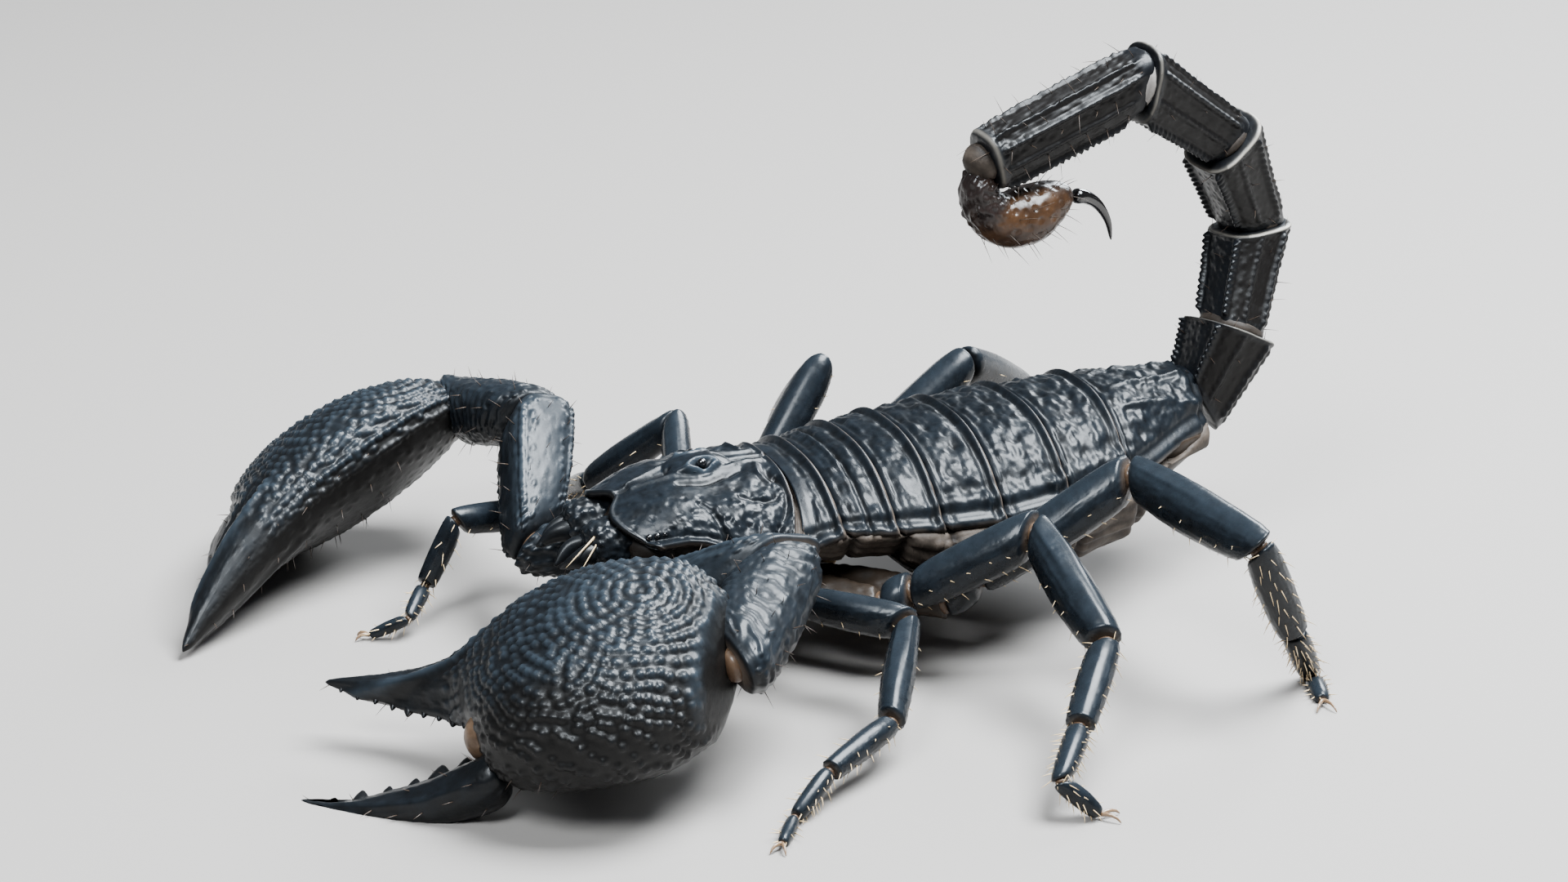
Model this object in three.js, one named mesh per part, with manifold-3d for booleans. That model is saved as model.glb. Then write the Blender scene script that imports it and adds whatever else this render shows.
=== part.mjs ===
// Emperor scorpion, a life-size still model with raised tail and lowered claws.
// Millimetres. Head toward -Y, the animal's left side toward +X, +Z up.
import * as THREE from "three";
import { mergeVertices } from "three/addons/utils/BufferGeometryUtils.js";
import Module from "manifold-3d";

const wasm = await Module();
wasm.setup();

// ---------------------------------------------------------------- driving dimensions
const GAP = 0.35; // clearance between neighbouring pieces
const FLOOR = 0; // height of the ground under the feet
const MERGE = 1e-3; // points closer than this are one point
const DOME = 2.6; // how square the back's cross-section is
const PLATE = 1; // thickness of a back or belly plate
const LAP = 0.5; // step down at the front of each back plate
const LIMB_SIDES = 8;
const ROUND_SIDES = 12;
const THIN_SIDES = 6;

// The back: [y, half width, drop from crown to margin, height of the crown]
const BACK = [
  [-5.0, 13.4, 6.4, 21.6],
  [-1.2, 13.4, 5.6, 21.8],
  [4.7, 14.6, 7.0, 22.8],
  [10.1, 15.0, 8.0, 23.5],
  [17.4, 15.6, 8.4, 23.9],
  [25.7, 15.3, 7.9, 24.3],
  [34.3, 13.0, 8.0, 24.8],
  [48.5, 6.4, 8.8, 24.6],
];
const BELLY_Z = 5.6; // underside of the belly plates
const BELLY_WIDTH = 0.66; // belly plates' width over the back's width
const FIRST_STERNITE = 3;
const BELLY = [9.6, 16.0, 22.5, 29.5, 37.0, 48.3]; // where the belly plates divide

// The head shield: [y, half width, drop from crown to margin, height of the crown]
const SHIELD = [
  [-25.6, 8.4, 4.6, 19.2],
  [-22.0, 10.4, 5.8, 20.2],
  [-17.0, 12.0, 6.6, 21.4],
  [-12.0, 13.0, 7.0, 21.8],
  [-5.0, 13.9, 7.4, 21.6],
];
const CARAPACE = {
  notch: 2.0, // depth of the notch between the front lobes
  corner: 2.8, // how far its back corners sit before its back edge
};
// Comb organs: the left one's root, how far its teeth reach back, and its slant out and back
const COMB = {
  root: [1.2, 0.2, 6.0],
  length: 9.5,
  teeth: 9,
  depth: 2.9,
  notch: 1.3,
  half: 0.8,
  out: 0.86,
  back: 0.62,
  lean: 0.3, // how far the teeth lean toward the middle, for each millimetre back
};

// Jaws beside the mouth: joints of the left one, and rows of half width and half height
const CHELICERA_JOINTS = [[2.9, -21.6, 15.0], [3.3, -28.0, 15.0], [3.0, -31.6, 13.2]];
const CHELICERA_PALM = [[0, 1.9, 2.2], [0.3, 2.3, 2.6], [0.8, 2.3, 2.5], [1, 1.7, 1.9]];
const CHELICERA_CLAW = [[0, 1.7, 1.9], [0.5, 1.2, 1.3], [1, 0.4, 0.45]];

const EYE = { middle: [1.25, -13.6, 22.5], radius: 0.72, side: [8.3, -22.6, 17.6], sideRadius: 0.42 };

// Tail: [length, pitch from +Y, lean toward +X, half width, half height]
const TAIL_ROOT = [0, 49.6, 19.8];
const TAIL = [
  { name: "metasoma_1", length: 9.4, pitch: 63, lean: 0, half: [4.9, 4.8] },
  { name: "metasoma_2", length: 13.0, pitch: 65, lean: -23, half: [4.5, 4.5] },
  { name: "metasoma_3", length: 14.3, pitch: 119, lean: 14, half: [4.2, 4.2] },
  { name: "metasoma_4", length: 15.6, pitch: 146, lean: 9, half: [3.9, 4.3] },
  { name: "metasoma_5", length: 21.0, pitch: 199, lean: 4, half: [3.6, 4.1] },
];

// Legs, front pair first: link lengths are trochanter with femur, patella, tibia and two tarsi.
const LEG_LINKS = [
  [12.9, 12.9, 8.4, 5.6, 5.0],
  [15.4, 14.6, 10.1, 6.7, 5.0],
  [18.8, 17.3, 11.8, 7.8, 5.5],
  [24.6, 20.0, 14.0, 9.0, 6.1],
];
const LEG_GIRTH = [1.8, 2.05, 2.6, 2.75]; // half height of the femur
// Pose of each link: [yaw back from straight out, pitch up]; the last link comes down to the floor
const LEG_POSE = {
  left: [
    { hip: [10.6, -16.8, 9.2], turns: [[-38, -12], [-112, -2], [-140, -36], [-165, -8]], toe: -165 },
    { hip: [13.0, -9.9, 10.6], turns: [[43, -2], [-32, -20], [-64, -10], [-58, -22]], toe: -38 },
    { hip: [15.5, 1.8, 8.4], turns: [[62, 29], [0, -21], [-42, -23], [-42, -19]], toe: 65 },
    { hip: [16.1, 9.0, 8.1], turns: [[75, 33], [13, -5], [112, -59], [120, -55]], toe: -21 },
  ],
  right: [
    { hip: [-10.6, -17.4, 10.0], turns: [[-30, -2], [-108, 10], [-85, -63], [-141, -18]], toe: -66 },
    { hip: [-12.9, -10.4, 10.0], turns: [[19, 22], [-43, -39], [3, -26], [-5, -11]], toe: -5 },
    { hip: [-15.9, -1.5, 8.2], turns: [[63, 44], [5, -42], [23, -32], [28, -24]], toe: 30 },
    { hip: [-16.6, 8.6, 7.8], turns: [[80, 31], [51, -28], [20, -26], [30, -31]], toe: 45 },
  ],
};
const TOE_HEIGHT = 0.45; // how high a foot's middle ends above the floor

// Palm with fixed finger: [fraction of length, inner edge, outer edge, half thickness, arch]
const OPEN_HAND = [
  [0.0, -5.0, 7.0, 4.0, 0.5],
  [0.05, -8.6, 11.2, 6.0, 1.5],
  [0.12, -10.6, 14.2, 6.9, 2.4],
  [0.22, -10.0, 15.6, 7.2, 3.2],
  [0.34, -9.2, 16.2, 7.2, 3.4],
  [0.48, -6.9, 15.2, 6.1, 2.4],
  [0.55, -5.2, 8.2, 3.8, 1.8],
  [0.65, -2.4, 5.0, 3.1, -0.8],
  [0.8, -1.2, 2.9, 2.1, -1.6],
  [1.0, -0.35, 0.35, 0.4, 0],
];
const CLOSED_HAND = [
  [0.0, -4.0, 4.0, 3.2, 0.2],
  [0.05, -6.2, 7.4, 4.4, 0.9],
  [0.12, -8.4, 12.0, 5.7, 1.9],
  [0.22, -9.2, 16.0, 6.7, 2.9],
  [0.34, -8.2, 18.3, 7.0, 3.7],
  [0.48, -6.3, 16.6, 5.9, 4.3],
  [0.55, -5.5, 9.4, 5.0, 4.2],
  [0.65, -4.5, 5.6, 4.0, 3.7],
  [0.8, -2.7, 3.2, 2.8, 2.5],
  [1.0, -0.35, 0.35, 0.4, 0],
];
const FINGER_ROOT = [0.46, 12.4]; // hinge of the movable finger: [fraction of length, offset]
// Movable finger: [fraction of its length, inner edge, outer edge, half thickness, arch]
const OPEN_FINGER = [
  [0.0, -3.2, 3.2, 3.2, 0.3],
  [0.14, -1.6, 3.6, 3.0, -0.5],
  [0.4, -0.6, 3.9, 2.4, -1.7],
  [0.65, -0.1, 3.1, 1.8, -1.8],
  [0.87, 0.5, 2.0, 1.0, -1.4],
  [1.0, -0.3, 0.3, 0.35, 0],
];
const CLOSED_FINGER = [
  [0.0, -3.4, 4.2, 3.6, 4.2],
  [0.16, -3.4, 4.4, 3.7, 4.0],
  [0.4, -2.6, 4.0, 3.2, 3.2],
  [0.7, -1.5, 2.8, 2.2, 1.7],
  [0.9, -0.7, 1.4, 1.2, 0.6],
  [1.0, -0.35, 0.35, 0.4, 0],
];
// Claw arms: joint places, the direction the claw opens in, and the swing of its movable finger
const ARM = {
  left: {
    coxa: [6.0, -21.0, 10.8],
    shoulder: [10.9, -24.3, 11.5],
    elbow: [22.4, -12.8, 18.4],
    wrist: [35.2, -24.1, 14.7],
    tip: [6.2, -58.6, 6.7],
    gape: [0.82, -0.37, -0.43],
    swing: 7,
    hand: OPEN_HAND,
    finger: OPEN_FINGER,
    fingerLength: 23,
  },
  right: {
    coxa: [-6.0, -21.2, 11.0],
    shoulder: [-9.9, -29.2, 10.9],
    elbow: [-24.5, -23.6, 20.4],
    wrist: [-41.9, -28.9, 15.9],
    tip: [-18.4, -68.0, 1.0],
    gape: [-0.77, -0.24, -0.59],
    swing: -31,
    hand: CLOSED_HAND,
    finger: CLOSED_FINGER,
    fingerLength: 22,
  },
};
// Telson, in the tail's plane from its joint: [back, up, half width, half height]
const VESICLE = [
  [0.3, -1.0, 2.3, 2.1],
  [-0.4, -3.4, 2.2, 2.0],
  [1.0, -5.9, 2.8, 2.6],
  [3.2, -7.0, 3.2, 3.2],
  [5.8, -7.0, 3.4, 3.5],
  [8.4, -6.2, 2.9, 3.0],
  [10.4, -5.7, 2.0, 2.0],
  [11.8, -5.7, 1.2, 1.15],
];
const ACULEUS = [
  [12.2, -5.7, 1.1, 1.05],
  [13.8, -6.1, 0.8, 0.8],
  [15.6, -7.3, 0.6, 0.6],
  [17.0, -9.4, 0.42, 0.42],
  [17.6, -12.0, 0.25, 0.25],
];
const TELSON_LEAN = -0.11; // sideways drift for each millimetre back

// ---------------------------------------------------------------- materials
function finish(color, roughness, metalness = 0) {
  return new THREE.MeshStandardMaterial({ color, roughness, metalness });
}
const cuticle = finish(0x14191f, 0.32);
const limbCuticle = finish(0x171c23, 0.36);
const softSkin = finish(0x4a4138, 0.6);
const bellyPlate = finish(0x2b211a, 0.45);
const tailCuticle = finish(0x15161a, 0.36);
const amber = finish(0x5a2a10, 0.3);
const black = finish(0x050506, 0.15);
const comb = finish(0x8a6f4d, 0.6);

// ---------------------------------------------------------------- geometry helpers
const vec = (v) => new THREE.Vector3(v[0], v[1], v[2]);
const along = (a, b, t) => a.clone().lerp(b, t);
const signedPower = (x, p) => Math.sign(x) * Math.abs(x) ** p;
const smooth = (t) => t * t * (3 - 2 * t);
const bump = (t, centre, width) => Math.exp(-(((t - centre) / width) ** 2));

// The straight-line value at x of a table of rows [x, value, value, ...]
function lookUp(table, x) {
  let k = 0;
  while (k < table.length - 2 && x > table[k + 1][0]) k += 1;
  const t = (x - table[k][0]) / (table[k + 1][0] - table[k][0]);
  return table[k].map((value, i) => value + (table[k + 1][i] - value) * t);
}

function signedVolume(geometry) {
  const at = (i) => new THREE.Vector3().fromBufferAttribute(geometry.attributes.position, i);
  const index = geometry.index.array;
  let sum = 0;
  for (let i = 0; i < index.length; i += 3) {
    sum += at(index[i]).dot(at(index[i + 1]).cross(at(index[i + 2]))) / 6;
  }
  return sum;
}

// Merge shared points, drop collapsed triangles and turn every face outward.
function closed(geometry) {
  geometry.deleteAttribute("normal");
  geometry.deleteAttribute("uv");
  const merged = mergeVertices(geometry, MERGE);
  const faces = [];
  const old = merged.index.array;
  for (let i = 0; i < old.length; i += 3) {
    const [a, b, c] = [old[i], old[i + 1], old[i + 2]];
    if (a !== b && b !== c && c !== a) faces.push([a, b, c]);
  }
  merged.setIndex(faces.flat());
  if (signedVolume(merged) < 0) merged.setIndex(faces.map(([a, b, c]) => [a, c, b]).flat());
  return merged;
}

// Move every point of a geometry to place(point) and close it again.
function bend(geometry, place) {
  const points = geometry.attributes.position;
  for (let i = 0; i < points.count; i += 1) {
    const p = place(new THREE.Vector3().fromBufferAttribute(points, i));
    points.setXYZ(i, p.x, p.y, p.z);
  }
  return closed(geometry);
}

// A skin through stations { at, side, up, square }: half-size vectors about a centre.
function loft(stations, sides = LIMB_SIDES) {
  const rows = stations.length - 1;
  const form = new THREE.CylinderGeometry(1, 1, 1, sides, rows);
  return bend(form, (p) => {
    const row = stations[Math.round((0.5 - p.y) * rows)];
    const power = 2 / (row.square ?? 2);
    const across = signedPower(p.x, power);
    const upward = signedPower(p.z, power);
    return row.at.clone().addScaledVector(row.side, across).addScaledVector(row.up, upward);
  });
}

// A curved plate from a flat block: place(u, v, t) with u across, v through and t along, 0 to 1.
function plate(across, alongSteps, place) {
  const block = new THREE.BoxGeometry(1, 1, 1, across, 1, alongSteps);
  return bend(block, (p) => place(2 * p.x, p.y + 0.5, p.z + 0.5));
}

function solid(geometry) {
  const mesh = new wasm.Mesh({
    numProp: 3,
    vertProperties: new Float32Array(geometry.attributes.position.array),
    triVerts: new Uint32Array(geometry.index.array),
  });
  return new wasm.Manifold(mesh);
}

function fromSolid(body) {
  const mesh = body.getMesh();
  const geometry = new THREE.BufferGeometry();
  geometry.setAttribute("position", new THREE.BufferAttribute(new Float32Array(mesh.vertProperties), 3));
  geometry.setIndex(Array.from(mesh.triVerts));
  return geometry;
}

function join(first, ...others) {
  return fromSolid(others.reduce((sum, next) => sum.add(solid(next)), solid(first)));
}

function cut(body, ...tools) {
  return fromSolid(tools.reduce((rest, next) => rest.subtract(solid(next)), solid(body)));
}

// Rotate a limb's side vector with it from link to link, so that its skin never twists.
function frames(joints, firstSide) {
  let side = vec(firstSide);
  let before = null;
  return joints.slice(1).map((end, k) => {
    const axis = end.clone().sub(joints[k]).normalize();
    if (before) side.applyQuaternion(new THREE.Quaternion().setFromUnitVectors(before, axis));
    side.addScaledVector(axis, -side.dot(axis)).normalize();
    before = axis;
    return { axis, side: side.clone(), up: new THREE.Vector3().crossVectors(side, axis).normalize() };
  });
}

// How far a section point moves along the axis to lie in the plane shared with the next link.
function mitre(axis, neighbour, v) {
  if (!neighbour) return 0;
  const normal = axis.clone().add(neighbour).normalize();
  return -v.dot(normal) / axis.dot(normal);
}

// Stations of one link from a to b. rows: [fraction, half width, half height, squareness].
function link(a, b, frame, before, after, rows, grow = 0) {
  const { axis, side, up } = frame;
  return rows.map(([t, width, height, square]) => {
    const shear = (v) => {
      const slide = mitre(axis, before, v) * (1 - t) + mitre(axis, after, v) * t;
      return v.addScaledVector(axis, slide);
    };
    return {
      at: along(a, b, t),
      side: shear(side.clone().multiplyScalar(width + grow)),
      up: shear(up.clone().multiplyScalar(height + grow)),
      square: square ?? 2,
    };
  });
}

function direction(yaw, pitch, sign) {
  const y = THREE.MathUtils.degToRad(yaw);
  const p = THREE.MathUtils.degToRad(pitch);
  return new THREE.Vector3(sign * Math.cos(y) * Math.cos(p), Math.sin(y) * Math.cos(p), Math.sin(p));
}

// Keep a foot's underside on the floor as a small flat.
function onFloor(geometry) {
  return bend(geometry, (p) => p.setZ(Math.max(p.z, FLOOR)));
}

// ---------------------------------------------------------------- nodes
const scorpion = new THREE.Group();

function addNode(name, geometry, material) {
  const mesh = new THREE.Mesh(geometry, material);
  mesh.name = name;
  scorpion.add(mesh);
}

// ---------------------------------------------------------------- back, belly and soft sides
// A point on the back's outer surface; sink moves it inward.
function backPoint(u, y, sink) {
  const [, half, drop, crown] = lookUp(BACK, y);
  const z = crown - sink - (drop - sink) * Math.abs(u) ** DOME;
  return new THREE.Vector3(u * (half - sink), y, z);
}

function tergite(y0, y1, reach) {
  return plate(10, 2, (u, v, t) => {
    const front = y0 - reach * u ** 4;
    const y = front + (y1 - front) * t;
    const lap = LAP * (1 - t);
    return backPoint(u, y, (1 - v) * PLATE + lap);
  });
}

function addTergites() {
  for (let k = 1; k < BACK.length; k += 1) {
    const reach = k === 1 ? CARAPACE.corner : 0;
    const shape = tergite(BACK[k - 1][0] + GAP / 2, BACK[k][0] - GAP / 2, reach);
    addNode(`tergite_${k}`, k < BACK.length - 1 ? shape : cut(shape, tailRoom()), cuticle);
  }
}

const ramp = (x, x0, x1) => smooth(THREE.MathUtils.clamp((x - x0) / (x1 - x0), 0, 1));
const bellyHalf = (y) => lookUp(BACK, y)[1] * BELLY_WIDTH;
const bellyLow = (y) => BELLY_Z + 10.8 * ramp(y, 31, 50) + 4.4 * ramp(-y, -12, -5);
const bellyRise = (u) => 1.6 * Math.abs(u) ** DOME;

function sternite(y0, y1) {
  return plate(6, 2, (u, v, t) => {
    const y = y0 + (y1 - y0) * t;
    return new THREE.Vector3(u * bellyHalf(y), y, bellyLow(y) + bellyRise(u) + v * PLATE);
  });
}

function addSternites() {
  for (let k = 1; k < BELLY.length; k += 1) {
    const name = `sternite_${k + FIRST_STERNITE - 1}`;
    addNode(name, sternite(BELLY[k - 1] + GAP / 2, BELLY[k] - GAP / 2), bellyPlate);
  }
}

// The soft body between the plates: a dome under the back plates, a bulge at the sides.
const CORE_SECTION = [
  [0, "back"],
  [0.35, "back"],
  [0.65, "back"],
  [0.85, "back"],
  [0.97, "back"],
  [0.98, 0.9],
  [1.02, 0.55],
  [0.9, 0.2],
  [0.62, 0],
  [0.35, 0],
  [0, 0],
];

function corePoint(y, k) {
  const last = CORE_SECTION.length - 1;
  const row = k <= last ? k : 2 * last - k;
  const sign = k <= last ? 1 : -1;
  const [fraction, level] = CORE_SECTION[row];
  const sink = PLATE + LAP + GAP;
  if (level === "back") return backPoint(sign * fraction, y, sink);
  const [, half, drop, crown] = lookUp(BACK, y);
  const top = crown - drop - GAP;
  const width = half - PLATE / 2;
  const x = sign * width * fraction;
  const bottom = bellyLow(y) + PLATE + GAP + bellyRise(x / bellyHalf(y));
  return new THREE.Vector3(x, y, bottom + (top - bottom) * level);
}

function softCore() {
  const ys = [-4.6, -1.2, 2, 4.7, 10.1, 17.4, 25.7, 34.3, 41, 48.2];
  const sides = 2 * (CORE_SECTION.length - 1);
  const form = new THREE.CylinderGeometry(1, 1, 1, sides, ys.length - 1);
  return bend(form, (p) => {
    const y = ys[Math.round((0.5 - p.y) * (ys.length - 1))];
    if (Math.hypot(p.x, p.z) < 0.5) return new THREE.Vector3(0, y, lookUp(BACK, y)[3] - 7);
    const turn = Math.atan2(p.x, p.z) / (2 * Math.PI);
    const k = Math.round(((turn + 1) % 1) * sides) % sides;
    return corePoint(y, k);
  });
}

// ---------------------------------------------------------------- head
// A point on the head shield; sink moves it inward.
function shieldPoint(u, t, sink) {
  const lobes = CARAPACE.notch * bump(u, 0, 0.3) + 2.2 * Math.abs(u) ** 5;
  const front = SHIELD[0][0] + lobes;
  const back = SHIELD[SHIELD.length - 1][0] - GAP / 2 - CARAPACE.corner * u ** 4;
  const y = front + (back - front) * t;
  const [, half, drop, crown] = lookUp(SHIELD, y);
  const z = crown - sink - (drop - sink) * Math.abs(u) ** DOME;
  return new THREE.Vector3(u * (half - sink), y, z);
}

const shieldPlate = () => plate(12, 5, (u, v, t) => shieldPoint(u, t, (1 - v) * PLATE));

// Everything above the underside of the head shield, to trim the body beneath it.
function aboveShield() {
  const under = PLATE + LAP + GAP;
  return plate(8, 3, (u, v, t) => shieldPoint(1.12 * u, 1.3 * t - 0.15, under - 8 * v));
}

function ball(centre, radius, stretch = [1, 1, 1], sides = 10) {
  const form = new THREE.SphereGeometry(radius, sides, Math.round(0.6 * sides));
  return bend(form, (p) => p.multiply(vec(stretch)).add(vec(centre)));
}

const mirrored = ([x, y, z], sign) => [sign * x, y, z];

function sideEyes(sign, grow) {
  const balls = [-1, 0, 1].map((k) => {
    const [x, y, z] = mirrored(EYE.side, sign);
    return ball([x - sign * 0.25 * k, y - 0.6 * k, z - 0.1 * k], EYE.sideRadius + grow, [1, 1, 1], 5);
  });
  return join(...balls);
}

function addCarapace() {
  const mound = ball([0, EYE.middle[1], EYE.middle[2] - 0.9], 1, [2.3, 3.4, 1.5], 8);
  const sockets = [];
  for (const [side, sign] of [["left", 1], ["right", -1]]) {
    addNode(`eye_median_${side}`, ball(mirrored(EYE.middle, sign), EYE.radius, [1, 1, 1], 7), black);
    addNode(`eyes_lateral_${side}`, sideEyes(sign, 0), black);
    sockets.push(ball(mirrored(EYE.middle, sign), EYE.radius + GAP, [1, 1, 1], 7));
    sockets.push(sideEyes(sign, GAP));
  }
  addNode("carapace", cut(join(shieldPlate(), mound), ...sockets), cuticle);
}

function chelicera(sign) {
  const joints = CHELICERA_JOINTS.map((p) => vec(mirrored(p, sign)));
  const [palm, claw] = frames(joints, [1, 0, 0]);
  const stations = link(joints[0], joints[1], palm, null, claw.axis, CHELICERA_PALM);
  stations.push(...link(joints[1], joints[2], claw, palm.axis, null, CHELICERA_CLAW.slice(1)));
  return loft(stations);
}

// ---------------------------------------------------------------- limbs
// Rows of one link: [fraction, half width, half height] as parts of the limb's girth
const FEMUR_ROWS = [
  [0, 0.62, 0.66],
  [0.1, 0.84, 0.92],
  [0.2, 0.62, 0.66],
  [0.36, 0.82, 0.92],
  [0.72, 0.9, 1.0],
  [0.93, 0.84, 0.94],
  [1, 0.7, 0.76],
];
const PATELLA_ROWS = [
  [0, 0.7, 0.76],
  [0.14, 0.74, 0.84],
  [0.45, 0.92, 1.02],
  [0.85, 0.84, 0.9],
  [1, 0.64, 0.68],
];
const TIBIA_ROWS = [
  [0, 0.58, 0.62],
  [0.35, 0.68, 0.76],
  [0.9, 0.58, 0.64],
  [1, 0.48, 0.52],
];
const BASITARSUS_ROWS = [
  [0, 0.46, 0.5],
  [0.3, 0.5, 0.55],
  [1, 0.38, 0.42],
];
const TELOTARSUS_ROWS = [
  [0, 0.36, 0.38],
  [0.5, 0.38, 0.42],
  [1, 0.26, 0.28],
];
const LEG_ROWS = [FEMUR_ROWS, PATELLA_ROWS, TIBIA_ROWS, BASITARSUS_ROWS, TELOTARSUS_ROWS];

// A leg's coxa runs from beside the breastbone to the hip.
function coxaLine(pose, k, sign) {
  const inner = [sign * 2.4, -15.5 + 3.2 * k, 8.2];
  const hip = vec(pose.hip);
  return { inner, hip, axis: hip.clone().sub(vec(inner)).normalize() };
}

const scaled = (rows, girth) => rows.map(([t, w, h, square]) => [t, w * girth, h * girth, square]);

function legJoints(pose, lengths, sign) {
  const joints = [vec(pose.hip)];
  pose.turns.forEach(([yaw, pitch], k) => {
    joints.push(joints[k].clone().addScaledVector(direction(yaw, pitch, sign), lengths[k]));
  });
  const ankle = joints[pose.turns.length];
  const toe = lengths[pose.turns.length];
  const drop = THREE.MathUtils.radToDeg(Math.asin((TOE_HEIGHT - ankle.z) / toe));
  joints.push(ankle.clone().addScaledVector(direction(pose.toe, drop, sign), toe));
  return joints;
}

// One skin over links first..last of a leg, ending half a gap short of its joints.
function legSkin(joints, girth, first, last, coxaAxis, sides) {
  const parts = frames(joints, [0, 1, 0]);
  const stations = [];
  for (let k = first; k <= last; k += 1) {
    const before = k > 0 ? parts[k - 1].axis : coxaAxis;
    const after = k < parts.length - 1 ? parts[k + 1].axis : null;
    const a = joints[k].clone();
    const b = joints[k + 1].clone();
    if (k === first) a.addScaledVector(parts[k].axis, GAP / 2);
    if (k === last && after) b.addScaledVector(parts[k].axis, -GAP / 2);
    const rows = scaled(LEG_ROWS[k], girth);
    stations.push(...link(a, b, parts[k], before, after, k === first ? rows : rows.slice(1)));
  }
  return loft(stations, sides);
}

// Two short curved claws at the end of a foot: [reach, rise, radius]
const FOOT_CLAW = [[-0.4, 0, 0.4], [0.9, 0.25, 0.4], [1.9, -0.35, 0.3]];

function footClaws(foot, girth, heading) {
  const flat = heading.clone().setZ(0).normalize();
  const aside = new THREE.Vector3(-flat.y, flat.x, 0);
  return [-1, 1].map((turn) => {
    const out = flat.clone().addScaledVector(aside, 0.5 * turn).normalize();
    const across = new THREE.Vector3(-out.y, out.x, 0);
    const stations = FOOT_CLAW.map(([reach, rise, radius]) => ({
      at: foot.clone().addScaledVector(out, reach * girth / 2).add(new THREE.Vector3(0, 0, rise)),
      side: across.clone().multiplyScalar(radius),
      up: new THREE.Vector3(0, 0, radius),
    }));
    return loft(stations, 4);
  });
}

function addLegs() {
  for (const [side, sign] of [["left", 1], ["right", -1]]) {
    LEG_POSE[side].forEach((pose, k) => {
      const joints = legJoints(pose, LEG_LINKS[k], sign);
      const girth = LEG_GIRTH[k];
      const last = joints.length - 2;
      const heading = joints[last + 1].clone().sub(joints[last]);
      const { axis } = coxaLine(pose, k, sign);
      const upper = legSkin(joints, girth, 0, 1, axis, LIMB_SIDES);
      const shin = legSkin(joints, girth, 2, last, axis, THIN_SIDES);
      const lower = join(shin, ...footClaws(joints[last + 1], girth, heading));
      addNode(`leg_${side}_${k + 1}_upper`, upper, limbCuticle);
      addNode(`leg_${side}_${k + 1}_lower`, onFloor(lower), limbCuticle);
    });
  }
}

// ---------------------------------------------------------------- claw arms
// Rows of trochanter, femur and patella: [fraction, half width, half height, squareness]
const ARM_ROWS = [
  [[0, 2.4, 2.4], [0.3, 3.1, 3.3], [0.75, 3.3, 3.5], [1, 2.8, 2.8]],
  [[0, 2.6, 2.6, 2.5], [0.14, 3.5, 3.2, 3], [0.5, 3.9, 3.6, 3.4], [0.86, 4.2, 3.9, 3], [1, 3.2, 3.1, 2.4]],
  [
    [0, 3.2, 3.1, 2.4],
    [0.16, 4.6, 3.8, 2.6],
    [0.5, 5.0, 4.1, 2.8],
    [0.84, 4.7, 3.9, 2.6],
    [1, 3.5, 3.3, 2.2],
  ],
];

function armLink(joints, k, parts, axes, rows, grow = 0) {
  const a = joints[k].clone().addScaledVector(parts[k].axis, GAP / 2 - grow);
  const b = joints[k + 1].clone().addScaledVector(parts[k].axis, grow - GAP / 2);
  return loft(link(a, b, parts[k], axes[k], axes[k + 2], rows, grow), ROUND_SIDES);
}

// The claw's own axes: along the fixed finger, toward the movable finger, and out of the broad face
function clawFrame(arm) {
  const axis = vec(arm.tip).sub(vec(arm.wrist));
  const length = axis.length();
  axis.normalize();
  const gape = vec(arm.gape);
  gape.addScaledVector(axis, -gape.dot(axis)).normalize();
  const face = new THREE.Vector3().crossVectors(axis, gape);
  if (face.z < 0) face.negate();
  return { origin: vec(arm.wrist), axis, gape, face, length, hand: arm.hand };
}

function clawStations(origin, axis, gape, face, length, rows, grow) {
  return rows.map(([t, inner, outer, thick, arch]) => ({
    at: origin.clone()
      .addScaledVector(axis, length * t)
      .addScaledVector(gape, (inner + outer) / 2)
      .addScaledVector(face, arch),
    side: gape.clone().multiplyScalar((outer - inner) / 2 + grow),
    up: face.clone().multiplyScalar(thick + grow),
    square: 2.2,
  }));
}

function palm(frame, grow = 0) {
  const { origin, axis, gape, face, length, hand } = frame;
  const start = origin.clone().addScaledVector(axis, GAP / 2);
  return loft(clawStations(start, axis, gape, face, length, hand, grow), ROUND_SIDES);
}

function movableFinger(frame, arm) {
  const angle = THREE.MathUtils.degToRad(arm.swing);
  const origin = frame.origin.clone()
    .addScaledVector(frame.axis, frame.length * FINGER_ROOT[0])
    .addScaledVector(frame.gape, FINGER_ROOT[1]);
  const turned = new THREE.Matrix4().makeRotationAxis(frame.axis.clone().cross(frame.gape), angle);
  const axis = frame.axis.clone().applyMatrix4(turned);
  const gape = frame.gape.clone().applyMatrix4(turned);
  const stations = clawStations(origin, axis, gape, frame.face, arm.fingerLength, arm.finger, 0);
  const whole = loft(stations, ROUND_SIDES);
  return cut(whole, palm(frame, GAP));
}

// Trochanter, femur and patella of an arm
function armLinks(arm, grow = 0) {
  const joints = [arm.coxa, arm.shoulder, arm.elbow, arm.wrist].map(vec);
  const parts = frames(joints, [1, 0, 0]);
  const axes = [null, ...parts.map((part) => part.axis), clawFrame(arm).axis];
  return ARM_ROWS.map((rows, k) => armLink(joints, k, parts, axes, rows, grow));
}

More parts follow.
